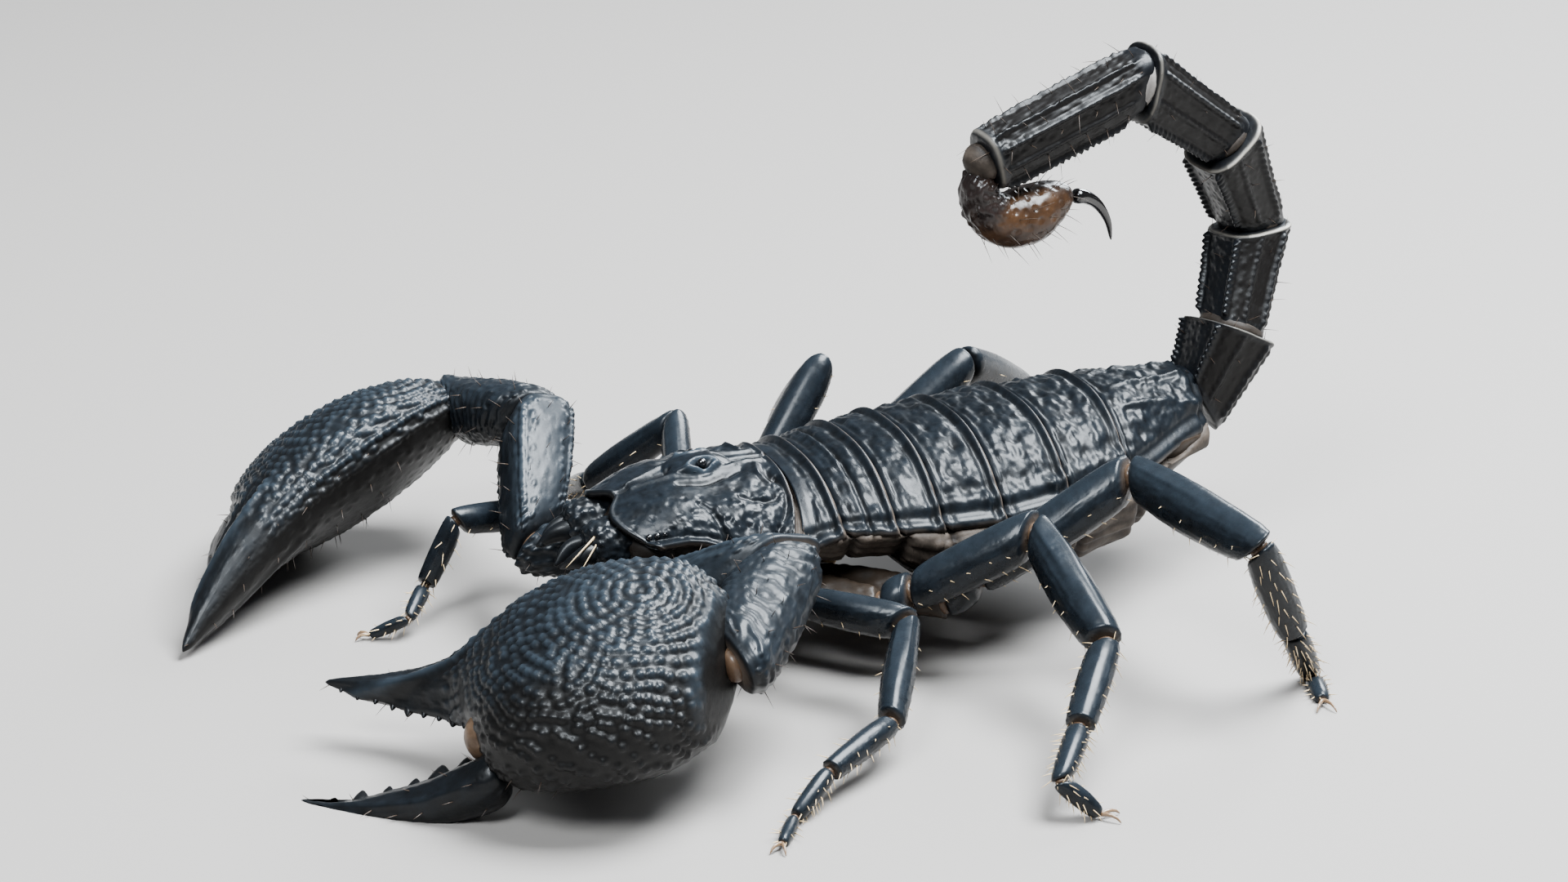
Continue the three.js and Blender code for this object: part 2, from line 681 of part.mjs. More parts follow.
function addArms() {
  for (const [side, arm] of Object.entries(ARM)) {
    const claw = clawFrame(arm);
    const [trochanter, femur, patella] = armLinks(arm);
    const wristRoom = armLinks(arm, GAP)[2];
    addNode(`pedipalp_${side}_trochanter`, trochanter, cuticle);
    addNode(`pedipalp_${side}_femur`, femur, cuticle);
    addNode(`pedipalp_${side}_patella`, patella, cuticle);
    addNode(`pedipalp_${side}_hand`, onFloor(cut(palm(claw), wristRoom)), cuticle);
    addNode(`pedipalp_${side}_movable_finger`, onFloor(movableFinger(claw, arm)), cuticle);
  }
}

// ---------------------------------------------------------------- underside of the head
// Rows of a hip piece: [fraction, half width, half height], the last two in the limb's girth
const COXA_ROOT = [0, 2.1, 2.0];
const COXA_ROWS = [[0.6, 0.86, 1], [1, 0.76, 0.84]];
const ARM_COXA = { inner: [3.4, -14.5, 10], girth: 3.2 };
// The head under its shield: [y, half width], between two levels
const HEAD_ROWS = [[-21.3, 7.6], [-17, 9.4], [-11, 10.6], [-5.4, 11.2]];
const HEAD_LEVELS = [6.6, 22];

function coxa(inner, end, after, girth) {
  const a = vec(inner);
  const axis = end.clone().sub(a).normalize();
  const b = end.clone().addScaledVector(axis, -GAP / 2);
  const [frame] = frames([a, b], [0, 1, 0]);
  const rows = [COXA_ROOT, ...COXA_ROWS.map(([t, wide, high]) => [t, wide * girth, high * girth])];
  return loft(link(a, b, frame, null, after, rows), 6);
}

function headBody() {
  const [bottom, top] = HEAD_LEVELS;
  const stations = HEAD_ROWS.map(([y, half]) => ({
    at: new THREE.Vector3(0, y, (bottom + top) / 2),
    side: new THREE.Vector3(half, 0, 0),
    up: new THREE.Vector3(0, 0, (top - bottom) / 2),
    square: 3,
  }));
  return cut(loft(stations, 10), aboveShield());
}

function addHeadBody() {
  const pieces = [];
  for (const [side, sign] of [["left", 1], ["right", -1]]) {
    LEG_POSE[side].forEach((pose, k) => {
      const [yaw, pitch] = pose.turns[0];
      const { inner, hip } = coxaLine(pose, k, sign);
      pieces.push(coxa(inner, hip, direction(yaw, pitch, sign), LEG_GIRTH[k]));
    });
    const arm = ARM[side];
    const toShoulder = vec(arm.shoulder).sub(vec(arm.coxa)).normalize();
    const [x, y, z] = ARM_COXA.inner;
    pieces.push(coxa([sign * x, y, z], vec(arm.coxa), toShoulder, ARM_COXA.girth));
  }
  const rooms = Object.values(ARM).map((arm) => armLinks(arm, GAP)[0]);
  addNode("prosoma_underside", cut(join(headBody(), ...pieces), ...rooms), limbCuticle);
}

// ---------------------------------------------------------------- combs under the belly
function pecten(sign) {
  return plate(2 * COMB.teeth, 1, (u, v, t) => {
    const reach = (u + 1) / 2 * COMB.length;
    const gap = t > 0.5 && Math.round((u + 1) * COMB.teeth) % 2 === 0 ? COMB.notch : 0;
    const depth = COMB.depth * t - gap;
    const x = COMB.root[0] + COMB.out * reach - COMB.lean * depth;
    const y = COMB.root[1] + COMB.back * reach + depth;
    return new THREE.Vector3(sign * x, y, COMB.root[2] + COMB.half * v);
  });
}

// ---------------------------------------------------------------- tail
const TAIL_ROWS = [
  [0, 0.84, 0.84, 2.4],
  [0.14, 0.98, 0.98, 3],
  [0.5, 0.95, 0.95, 3.4],
  [0.84, 1.02, 1.02, 3],
  [1, 0.88, 0.88, 2.4],
];

function tailJoints() {
  const joints = [vec(TAIL_ROOT)];
  TAIL.forEach(({ length, pitch, lean }, k) => {
    const p = THREE.MathUtils.degToRad(pitch);
    const x = THREE.MathUtils.degToRad(lean);
    const step = new THREE.Vector3(Math.sin(x), Math.cos(x) * Math.cos(p), Math.cos(x) * Math.sin(p));
    joints.push(joints[k].clone().addScaledVector(step, length));
  });
  return joints;
}

function tailSegment(joints, parts, k, grow = 0) {
  const [width, height] = TAIL[k].half;
  const taper = k === TAIL.length - 1 ? 0.8 : 1;
  const rows = TAIL_ROWS.map(([t, w, h, square]) => {
    const narrow = 1 + (taper - 1) * t * t;
    return [t, w * width * narrow, h * height * narrow, square];
  });
  const a = joints[k].clone().addScaledVector(parts[k].axis, GAP / 2 - grow);
  const b = joints[k + 1].clone().addScaledVector(parts[k].axis, grow - GAP / 2);
  const before = k > 0 ? parts[k - 1].axis : new THREE.Vector3(0, 1, 0);
  const after = k < TAIL.length - 1 ? parts[k + 1].axis : null;
  return loft(link(a, b, parts[k], before, after, rows, grow), ROUND_SIDES);
}

// The space that the first tail segment needs
function tailRoom() {
  const joints = tailJoints();
  return tailSegment(joints, frames(joints, [1, 0, 0]), 0, GAP);
}

// Stations across a path in the tail's plane
function planeStations(rows, root) {
  const place = ([back, up]) => root.clone().add(new THREE.Vector3(TELSON_LEAN * back, back, up));
  return rows.map((row, k) => {
    const next = place(rows[Math.min(k + 1, rows.length - 1)]);
    const heading = next.sub(place(rows[Math.max(k - 1, 0)])).normalize();
    const across = new THREE.Vector3(1, 0, 0);
    const up = new THREE.Vector3().crossVectors(across, heading).normalize();
    return { at: place(row), side: across.multiplyScalar(row[2]), up: up.multiplyScalar(row[3]) };
  });
}

function addTail() {
  const joints = tailJoints();
  const parts = frames(joints, [1, 0, 0]);
  TAIL.forEach(({ name }, k) => addNode(name, tailSegment(joints, parts, k), tailCuticle));
  const root = joints[TAIL.length];
  const lastSegment = tailSegment(joints, parts, TAIL.length - 1, GAP);
  addNode("vesicle", cut(loft(planeStations(VESICLE, root), ROUND_SIDES), lastSegment), amber);
  addNode("aculeus", loft(planeStations(ACULEUS, root)), black);
}

// ---------------------------------------------------------------- assembly
function addAbdomen() {
  addTergites();
  addSternites();
  addNode("abdomen_soft", cut(softCore(), tailRoom()), softSkin);
  for (const [side, sign] of [["left", 1], ["right", -1]]) addNode(`pecten_${side}`, pecten(sign), comb);
}

function addHead() {
  addCarapace();
  addHeadBody();
  addNode("chelicera_left", chelicera(1), cuticle);
  addNode("chelicera_right", chelicera(-1), cuticle);
}

addHead();
addAbdomen();
addLegs();
addArms();
addTail();

// Stand the model on the floor with its bounding box centred over the origin.
const box = new THREE.Box3().setFromObject(scorpion);
const centre = box.getCenter(new THREE.Vector3());
scorpion.position.set(-centre.x, -centre.y, -box.min.z);

export default scorpion;
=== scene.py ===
"""An emperor scorpion, dressed over its solids.

Pieces are modelled in millimetres, in the frame that the solids were designed in, and each one is
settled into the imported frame, in metres, when it is done. Head toward -Y, left side toward +X.
"""

import math
import random

import bpy
import numpy as np
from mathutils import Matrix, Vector, kdtree, noise


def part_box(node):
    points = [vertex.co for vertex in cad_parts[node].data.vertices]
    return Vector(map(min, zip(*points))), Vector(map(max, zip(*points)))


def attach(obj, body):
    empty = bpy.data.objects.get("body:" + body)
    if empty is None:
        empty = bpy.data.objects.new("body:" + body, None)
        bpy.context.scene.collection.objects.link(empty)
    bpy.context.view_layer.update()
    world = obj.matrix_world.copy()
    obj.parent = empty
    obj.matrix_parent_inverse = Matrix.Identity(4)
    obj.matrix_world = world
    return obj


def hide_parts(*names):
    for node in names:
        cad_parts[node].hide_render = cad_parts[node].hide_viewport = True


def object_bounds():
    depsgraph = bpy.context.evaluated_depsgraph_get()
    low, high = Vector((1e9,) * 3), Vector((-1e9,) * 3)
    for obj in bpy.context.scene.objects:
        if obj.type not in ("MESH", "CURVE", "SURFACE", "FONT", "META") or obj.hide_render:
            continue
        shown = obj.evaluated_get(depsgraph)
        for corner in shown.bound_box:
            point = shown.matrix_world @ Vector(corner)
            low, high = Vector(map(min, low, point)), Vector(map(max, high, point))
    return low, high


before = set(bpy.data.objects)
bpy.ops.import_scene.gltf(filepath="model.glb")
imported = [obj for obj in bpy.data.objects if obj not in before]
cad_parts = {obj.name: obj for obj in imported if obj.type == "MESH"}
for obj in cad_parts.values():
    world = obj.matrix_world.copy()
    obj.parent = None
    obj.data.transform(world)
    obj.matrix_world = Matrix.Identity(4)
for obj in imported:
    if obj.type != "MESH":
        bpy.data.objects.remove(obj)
SOLID_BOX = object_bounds()

# ---------------------------------------------------------------- driving dimensions
MM = 0.001  # one millimetre in metres
GAP = 0.35  # between neighbouring solids
DOME = 2.6  # power of the curve that falls from a plate's crown to its margins
LAP = 0.5  # how much deeper a back plate lies at its front than at its rear

# The back: y, half width, drop from crown to margin, height of the crown
BACK = np.array([
    [-5.0, 13.4, 6.4, 21.6],
    [-1.2, 13.4, 5.6, 21.8],
    [4.7, 14.6, 7.0, 22.8],
    [10.1, 15.0, 8.0, 23.5],
    [17.4, 15.6, 8.4, 23.9],
    [25.7, 15.3, 7.9, 24.3],
    [34.3, 13.0, 8.0, 24.8],
    [48.5, 6.4, 8.8, 24.6],
])
BELLY = [9.6, 16.0, 22.5, 29.5, 37.0, 48.3]  # where the five belly plates begin and end, along y
BELLY_Z = 5.6  # height of the belly's lowest line
BELLY_WIDTH = 0.66  # half width of a belly plate, as a share of the back's

# The head shield: y, half width, drop from crown to margin, height of the crown
SHIELD = np.array([
    [-25.6, 8.4, 4.6, 19.2],
    [-22.0, 10.4, 5.8, 20.2],
    [-17.0, 12.0, 6.6, 21.4],
    [-12.0, 13.0, 7.0, 21.8],
    [-5.0, 13.9, 7.4, 21.6],
])
NOTCH = 2.0  # depth of the notch at the middle of the shield's front
TRIM = 0.14  # how much narrower the shield is cut at its front, as a share of its width
CORNER = 2.8  # how far the head shield's rear corners lie before its middle
CORNER_BEHIND = 1.7  # the same for the front corners of the first back plate
EYE = (1.55, -13.6, 22.48)  # middle of the left eye of the mound
EYE_RADIUS = 0.56
LIDS_AT = 1.65  # distance of the middle of each eye's lids from the middle line
SIDE_EYES = (0.86, (0.085, 0.135, 0.185))  # place of the three across and along the shield
SIDE_EYE_RADIUS = 0.38

# Tail: length, pitch from +Y, lean toward +X, half width, half height
TAIL_ROOT = (0, 49.6, 19.8)
TAIL = [
    (9.4, 63, 0, 4.9, 4.8),
    (13.0, 65, -23, 4.5, 4.5),
    (14.3, 119, 14, 4.2, 4.2),
    (15.6, 146, 9, 3.9, 4.3),
    (21.0, 199, 4, 3.6, 4.1),
]
# Telson, in the tail's plane from its last joint: back, up, half width, half height
VESICLE = [
    (0.3, -1.0, 2.3, 2.1),
    (-0.4, -3.4, 2.2, 2.0),
    (1.0, -5.9, 2.8, 2.6),
    (3.2, -7.0, 3.2, 3.2),
    (5.8, -7.0, 3.4, 3.5),
    (8.4, -6.2, 2.9, 3.0),
    (10.4, -5.7, 2.0, 2.0),
    (11.8, -5.7, 1.2, 1.15),
]
ACULEUS = [
    (12.0, -5.7, 1.1, 1.05),
    (13.8, -6.1, 0.8, 0.8),
    (15.6, -7.3, 0.6, 0.6),
    (17.0, -9.4, 0.42, 0.42),
    (17.6, -11.9, 0.16, 0.16),
]
TELSON_LEAN = -0.11  # sideways, for each millimetre back from the tail's last joint
SLIM = (1, 0.93, 1, 0.94, 1)  # how much slimmer each tail segment is drawn than its table

# Legs, front pair first: trochanter with femur, patella, tibia and the two parts of the foot
LEG_LINKS = [
    (12.9, 12.9, 8.4, 5.6, 5.0),
    (15.4, 14.6, 10.1, 6.7, 5.0),
    (18.8, 17.3, 11.8, 7.8, 5.5),
    (24.6, 20.0, 14.0, 9.0, 6.1),
]
LEG_GIRTH = (1.8, 2.05, 2.6, 2.75)  # about the half height of each leg at its stoutest
TOE_HEIGHT = 0.45  # height of the middle of a toe over the floor
# Pose: hip, then yaw back from straight out and pitch up of each link, then the toe's yaw
LEG_POSE = {
    "left": [
        ((10.6, -16.8, 9.2), ((-38, -12), (-112, -2), (-140, -36), (-165, -8)), -165),
        ((13.0, -9.9, 10.6), ((43, -2), (-32, -20), (-64, -10), (-58, -22)), -38),
        ((15.5, 1.8, 8.4), ((62, 29), (0, -21), (-42, -23), (-42, -19)), 65),
        ((16.1, 9.0, 8.1), ((75, 33), (13, -5), (112, -59), (120, -55)), -21),
    ],
    "right": [
        ((-10.6, -17.4, 10.0), ((-30, -2), (-108, 10), (-85, -63), (-141, -18)), -66),
        ((-12.9, -10.4, 10.0), ((19, 22), (-43, -39), (3, -26), (-5, -11)), -5),
        ((-15.9, -1.5, 8.2), ((63, 44), (5, -42), (23, -32), (28, -24)), 30),
        ((-16.6, 8.6, 7.8), ((80, 31), (51, -28), (20, -26), (30, -31)), 45),
    ],
}
# Palm with fixed finger: fraction of length, inner edge, outer edge, half thickness, arch
OPEN_HAND = [
    (0.0, -5.0, 7.0, 4.0, 0.5),
    (0.05, -8.6, 11.2, 6.0, 1.5),
    (0.12, -10.6, 14.2, 6.9, 2.4),
    (0.22, -10.0, 15.6, 7.2, 3.2),
    (0.34, -9.2, 16.2, 7.2, 3.4),
    (0.48, -6.9, 15.2, 6.1, 2.4),
    (0.55, -5.2, 8.2, 3.8, 1.8),
    (0.65, -2.4, 5.0, 3.1, -0.8),
    (0.8, -1.2, 2.9, 2.1, -1.6),
    (1.0, -0.35, 0.35, 0.4, 0),
]
CLOSED_HAND = [
    (0.0, -4.0, 4.0, 3.2, 0.2),
    (0.05, -6.2, 7.4, 4.4, 0.9),
    (0.12, -8.4, 12.0, 5.7, 1.9),
    (0.22, -9.2, 16.0, 6.7, 2.9),
    (0.34, -8.2, 18.3, 7.0, 3.7),
    (0.48, -6.3, 16.6, 5.9, 4.3),
    (0.55, -5.5, 9.4, 5.0, 4.2),
    (0.65, -4.5, 5.6, 4.0, 3.7),
    (0.8, -2.7, 3.2, 2.8, 2.5),
    (1.0, -0.35, 0.35, 0.4, 0),
]
FINGER_ROOT = (0.46, 12.4)  # hinge of the movable finger: share of the hand's length, distance outward
# Movable finger: fraction of its length, inner edge, outer edge, half thickness, arch
OPEN_FINGER = [
    (0.0, -3.2, 3.2, 3.2, 0.3),
    (0.14, -2.6, 3.6, 3.0, -0.5),
    (0.4, -1.5, 3.9, 2.4, -1.7),
    (0.65, -0.7, 3.1, 1.8, -1.8),
    (0.87, 0.2, 2.0, 1.0, -1.4),
    (1.0, -0.3, 0.3, 0.35, 0),
]
CLOSED_FINGER = [
    (0.0, -3.4, 4.2, 3.6, 4.2),
    (0.16, -3.4, 4.4, 3.7, 4.0),
    (0.4, -2.6, 4.0, 3.2, 3.2),
    (0.7, -1.5, 2.8, 2.2, 1.7),
    (0.9, -0.7, 1.4, 1.2, 0.6),
    (1.0, -0.35, 0.35, 0.4, 0),
]
# Claw arms: joints, the way the claw opens, and the swing, form and joint skin of its movable finger
ARM = {
    "left": {
        "joints": (
            (6.0, -21.0, 10.8), (10.9, -24.3, 11.5), (22.4, -12.8, 18.4), (35.2, -24.1, 14.7),
        ),
        "tip": (6.2, -58.6, 6.7),
        "gape": (0.82, -0.37, -0.43),
        "swing": 7,
        "hand": OPEN_HAND,
        "finger": OPEN_FINGER,
        "finger_length": 23,
        "skin": (9.2, 1.6, 24.2),
    },
    "right": {
        "joints": (
            (-6.0, -21.2, 11.0), (-9.9, -29.2, 10.9), (-24.5, -23.6, 20.4), (-41.9, -28.9, 15.9),
        ),
        "tip": (-18.4, -68.0, 1.0),
        "gape": (-0.77, -0.24, -0.59),
        "swing": -31,
        "hand": CLOSED_HAND,
        "finger": CLOSED_FINGER,
        "finger_length": 22,
        "skin": (10.2, 4.0, 24.0),
    },
}


def solid_shift():
    """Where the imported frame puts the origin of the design, in metres."""
    shield_low, shield_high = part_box("carapace")
    plate_low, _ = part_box("tergite_3")
    front = (BACK[2][0] + GAP / 2) * MM
    return np.array([(shield_low[0] + shield_high[0]) / 2, plate_low[1] - front, SOLID_BOX[0][2]])


SHIFT = solid_shift()


# ---------------------------------------------------------------- small tools
def unit(v):
    v = np.asarray(v, float)
    return v / np.linalg.norm(v)


def hill(x, centre, width):
    """1 at the centre, falling away smoothly to nothing at about twice the width."""
    return np.exp(-(((x - centre) / width) ** 2))


def ease(x, low, high):
    """0 below low, 1 above high, smooth between them."""
    t = np.clip((x - low) / (high - low), 0, 1)
    return t * t * (3 - 2 * t)


def form_at(table, y):
    """Half width, drop from crown to margin and height of the crown, of the back or the head shield."""
    return [np.interp(y, table[:, 0], table[:, column]) for column in (1, 2, 3)]


def form_along(stations, z):
    """Half width, half height and centre, across and up, of a drawn-out piece at the given z."""
    table = np.array(stations)
    return [np.interp(z, table[:, 0], table[:, column]) for column in (1, 2, 3, 4)]


def straight(*rows):
    """Stations on a straight centre line, from rows of z, half width and half height."""
    return [(z, width, height, 0, 0) for z, width, height in rows]


def nothing_selected():
    if bpy.context.object and bpy.context.object.mode != "OBJECT":
        bpy.ops.object.mode_set(mode="OBJECT")
    bpy.ops.object.select_all(action="DESELECT")


def only(piece):
    """Select one piece alone and make it the active one."""
    nothing_selected()
    piece.select_set(True)
    bpy.context.view_layer.objects.active = piece


def named(name):
    """The active piece, under its name."""
    piece = bpy.context.object
    piece.name = name.replace(" ", "_")
    piece.data.name = piece.name
    return piece


def finish_with(piece, kind, **settings):
    """Add a modifier and apply it."""
    modifier = piece.modifiers.new(kind.title(), kind)
    for key, value in settings.items():
        setattr(modifier, key, value)
    only(piece)
    bpy.ops.object.modifier_apply(modifier=modifier.name)


def subdivide(piece, levels):
    if levels:
        finish_with(piece, "SUBSURF", levels=levels, render_levels=levels)


def joined(pieces, name):
    """Several pieces as one mesh."""
    nothing_selected()
    for piece in pieces:
        piece.select_set(True)
    bpy.context.view_layer.objects.active = pieces[0]
    if len(pieces) > 1:
        bpy.ops.object.join()
    return named(name)


def draw_out(name, stations, sides=12, levels=3):
    """A disc drawn out along z, station by station: z, half width, half height, centre x, centre y.

    Subdivision pulls a form in from its cage, so the disc starts a little too full.
    """
    fullness = 6 / (4 + 2 * math.cos(2 * math.pi / sides))
    nothing_selected()
    bpy.ops.mesh.primitive_circle_add(vertices=sides, radius=1, fill_type="NGON")
    piece = named(name)
    bpy.ops.object.mode_set(mode="EDIT")
    bpy.ops.mesh.select_all(action="SELECT")
    z, width, height, x, y = stations[0]
    bpy.ops.transform.resize(value=(width * fullness, height * fullness, 1))
    bpy.ops.transform.translate(value=(x, y, z))
    for next_z, next_width, next_height, next_x, next_y in stations[1:]:
        step = (next_x - x, next_y - y, next_z - z)
        bpy.ops.mesh.extrude_region_move(TRANSFORM_OT_translate={"value": step})
        growth = (next_width / width, next_height / height, 1)
        bpy.ops.transform.resize(value=growth, center_override=(next_x, next_y, next_z))
        z, width, height, x, y = next_z, next_width, next_height, next_x, next_y
    bpy.ops.mesh.select_all(action="SELECT")
    bpy.ops.mesh.normals_make_consistent(inside=False)
    bpy.ops.object.mode_set(mode="OBJECT")
    subdivide(piece, levels)
    return Clay(piece)


def sheet_of(name, across, along):
    """A flat grid from -1 to 1 both ways, ready to be shaped."""
    nothing_selected()
    bpy.ops.mesh.primitive_grid_add(x_subdivisions=across, y_subdivisions=along, size=2)
    return Clay(named(name))


def lump(name, centre, half, segments=16):
    """A ball at its place, stretched to its half sizes."""
    nothing_selected()
    bpy.ops.mesh.primitive_uv_sphere_add(segments=segments, ring_count=segments // 2, radius=1)
    piece = named(name)
    bpy.ops.object.mode_set(mode="EDIT")
    bpy.ops.mesh.select_all(action="SELECT")
    bpy.ops.transform.resize(value=tuple(half))
    bpy.ops.transform.translate(value=tuple(centre))
    bpy.ops.object.mode_set(mode="OBJECT")
    return Clay(piece)


def copy_of_solid(node, name, cell, rounds):
    """A copy of a solid's mesh, welded, made even and smoothed, in design millimetres."""
    piece = bpy.data.objects[node].copy()
    piece.data = piece.data.copy()
    bpy.context.scene.collection.objects.link(piece)
    only(piece)
    named(name)
    piece.data.materials.clear()
    clay = Clay(piece)
    clay.move_to((clay.at - SHIFT) / MM)
    bpy.ops.object.mode_set(mode="EDIT")
    bpy.ops.mesh.select_all(action="SELECT")
    bpy.ops.mesh.remove_doubles(threshold=MM)
    bpy.ops.object.mode_set(mode="OBJECT")
    finish_with(piece, "REMESH", mode="VOXEL", voxel_size=cell)
    finish_with(piece, "SMOOTH", factor=0.5, iterations=rounds)
    return Clay(piece)


def shelled(clay, thickness):
    """The same piece with a wall of the given thickness, which grows inward."""
    finish_with(clay.piece, "SOLIDIFY", thickness=thickness, offset=-1)
    return Clay(clay.piece)


# ---------------------------------------------------------------- modelling in clay
class Clay:
    """A piece under the modelling tools, with its points and their outward directions."""

    def __init__(self, piece):
        self.piece = piece
        self.at = np.empty(3 * len(piece.data.vertices))
        piece.data.vertices.foreach_get("co", self.at)
        self.at = self.at.reshape(-1, 3)

    @property
    def out(self):
        """Outward direction at each point."""
        normals = np.empty(3 * len(self.at))
        self.piece.data.vertex_normals.foreach_get("vector", normals)
        return normals.reshape(-1, 3)

    def move_to(self, places):
        self.at = np.array(places, float)
        self.piece.data.vertices.foreach_set("co", self.at.ravel())
        self.piece.data.update()
        return self

    def keep_over_floor(self):
        return self.move_to(np.stack([self.at[:, 0], self.at[:, 1], np.maximum(self.at[:, 2], 0)], 1))

    def grid(self):
        """Places on a flat sheet: -1 to 1 from side to side, and 0 to 1 from front to rear."""
        return self.at[:, 0], (self.at[:, 1] + 1) / 2

    def push(self, amount):
        """Move each point outward by its own amount."""
        return self.move_to(self.at + self.out * np.asarray(amount)[:, None])

    def paint(self, name, values):
        """Give each point a share, 0 to 1, of a finish that the material knows by name."""
        mesh = self.piece.data
        layer = mesh.attributes.get(name) or mesh.attributes.new(name, "FLOAT", "POINT")
        layer.data.foreach_set("value", np.clip(values, 0, 1).astype(np.float32))
        return self

    def rough(self, scale, stretch=(1, 1, 1), offset=0.0, octaves=2):
        """Soft noise at each point, about -1 to 1, with lumps of about the given size."""
        places = self.at / (scale * np.array(stretch)) + offset
        return np.array([noise.fractal(Vector(p), 1.0, 2.0, octaves) for p in places])

    def scatter(self, spacing, where=None, seed=1):
        """Points of the surface about one spacing apart, in no order."""
        order = np.arange(len(self.at)) if where is None else np.flatnonzero(where)
        random.Random(seed).shuffle(order)
        cells = {}
        chosen = []
        for i in order:
            p = self.at[i]
            home = tuple(int(math.floor(c / spacing)) for c in p)
            if any(
                (p[0] - q[0]) ** 2 + (p[1] - q[1]) ** 2 + (p[2] - q[2]) ** 2 < spacing * spacing
                for dx in (-1, 0, 1) for dy in (-1, 0, 1) for dz in (-1, 0, 1)
                for q in cells.get((home[0] + dx, home[1] + dy, home[2] + dz), ())
            ):
                continue
            cells.setdefault(home, []).append(p)
            chosen.append(i)
        return self.at[chosen]

    def grains(self, spots, radius, height):
        """Relief of round beads, or pits where the height is negative, at the given spots."""
        relief = np.zeros(len(self.at))
        if not len(spots):
            return relief
        radius = np.broadcast_to(radius, len(spots))
        height = np.broadcast_to(height, len(spots))
        tree = kdtree.KDTree(len(spots))
        for k, spot in enumerate(spots):
            tree.insert(spot, k)
        tree.balance()
        for i, p in enumerate(self.at):
            _, k, distance = tree.find(p)
            q = distance / radius[k]
            if q < 1:
                relief[i] = height[k] * (1 - q * q)
        return relief

    def crest(self, line, width, height):
        """Relief of a soft ridge along a line of points, or a furrow where the height is negative."""
        near = np.full(len(self.at), 1e9)
        line = np.asarray(line, float)
        for a, b in zip(line, line[1:]):
            span = b - a
            t = np.clip((self.at - a) @ span / (span @ span), 0, 1)
            near = np.minimum(near, np.linalg.norm(self.at - a - t[:, None] * span, axis=1))
        return height * np.exp(-((near / width) ** 2))


def press(clay, stations, shape):
    """Press a drawn-out piece to a section: shape(angle) scales each point from the centre line."""
    x, y, z = clay.at.T
    width, height, cx, cy = form_along(stations, z)
    scale = shape(np.arctan2((y - cy) / height, (x - cx) / width))
    return clay.move_to(np.stack([cx + (x - cx) * scale, cy + (y - cy) * scale, z], 1))


def boxy(angle, power):
    """How far a rounded square of the given power reaches beyond a circle."""
    return (np.abs(np.cos(angle)) ** power + np.abs(np.sin(angle)) ** power) ** (-1 / power)


def slide(axis, neighbour, v):
    """How far points move along a link so that its end lies in the plane shared with the next."""
    if neighbour is None:
        return 0
    normal = unit(axis + neighbour)
    return -(v @ normal) / (axis @ normal)


def lay(clay, start, side, up, axis, length=1, before=None, after=None):
    """Lay a piece that was drawn out along z on its link, mitred to the links before and after."""
    x, y, z = clay.at.T
    across = np.outer(x, side) + np.outer(y, up)
    t = z / length
    shear = slide(axis, before, across) * (1 - t) + slide(axis, after, across) * t
    clay.move_to(np.asarray(start) + across + np.outer(z + shear, axis))
    if np.dot(np.cross(side, up), axis) < 0:
        clay.piece.data.flip_normals()
    return clay


def distances_along(path):
    """How far along a path each of its points lies."""
    steps = np.linalg.norm(np.diff(path, axis=0), axis=1)
    return np.concatenate([[0], np.cumsum(steps)])


def follow(clay, path, side):
    """Bend a piece that was drawn out along z so that z runs along a path."""
    path = np.asarray(path, float)
    reach = distances_along(path)
    course = np.gradient(path, reach, axis=0)
    x, y, z = clay.at.T
    centre = np.stack([np.interp(z, reach, path[:, k]) for k in range(3)], 1)
    forward = np.stack([np.interp(z, reach, course[:, k]) for k in range(3)], 1)
    forward /= np.linalg.norm(forward, axis=1)[:, None]
    beyond = np.where(z < 0, z, np.where(z > reach[-1], z - reach[-1], 0))
    across = np.asarray(side) - forward * (forward @ np.asarray(side))[:, None]
    across /= np.linalg.norm(across, axis=1)[:, None]
    upward = np.cross(forward, across)
    return clay.move_to(centre + forward * beyond[:, None] + across * x[:, None] + upward * y[:, None])


def curve_through(points, steps=8):
    """A smooth line through the points."""
    p = np.asarray(points, float)
    p = np.concatenate([[2 * p[0] - p[1]], p, [2 * p[-1] - p[-2]]])
    line = []
    for a, b, c, d in zip(p, p[1:], p[2:], p[3:]):
        for k in range(steps):
            t = k / steps
            line.append(0.5 * (2 * b + (c - a) * t + (2 * a - 5 * b + 4 * c - d) * t ** 2
                               + (3 * b - a - 3 * c + d) * t ** 3))
    line.append(p[-2])
    return np.array(line)


def turned(v, start, end):
    """A direction after the shortest turn that takes start to end."""
    return np.array(Vector(start).rotation_difference(Vector(end)) @ Vector(v))


def link_frames(joints, first_side):
    """For each link its axis, side and up, the side carried along so that the limb never twists."""
    joints = np.asarray(joints, float)
    side = np.asarray(first_side, float)
    before = None
    frames = []
    for a, b in zip(joints, joints[1:]):
        axis = unit(b - a)
        if before is not None:
            side = turned(side, before, axis)
        side = unit(side - axis * (side @ axis))
        before = axis
        frames.append((axis, side, np.cross(side, axis)))
    return frames



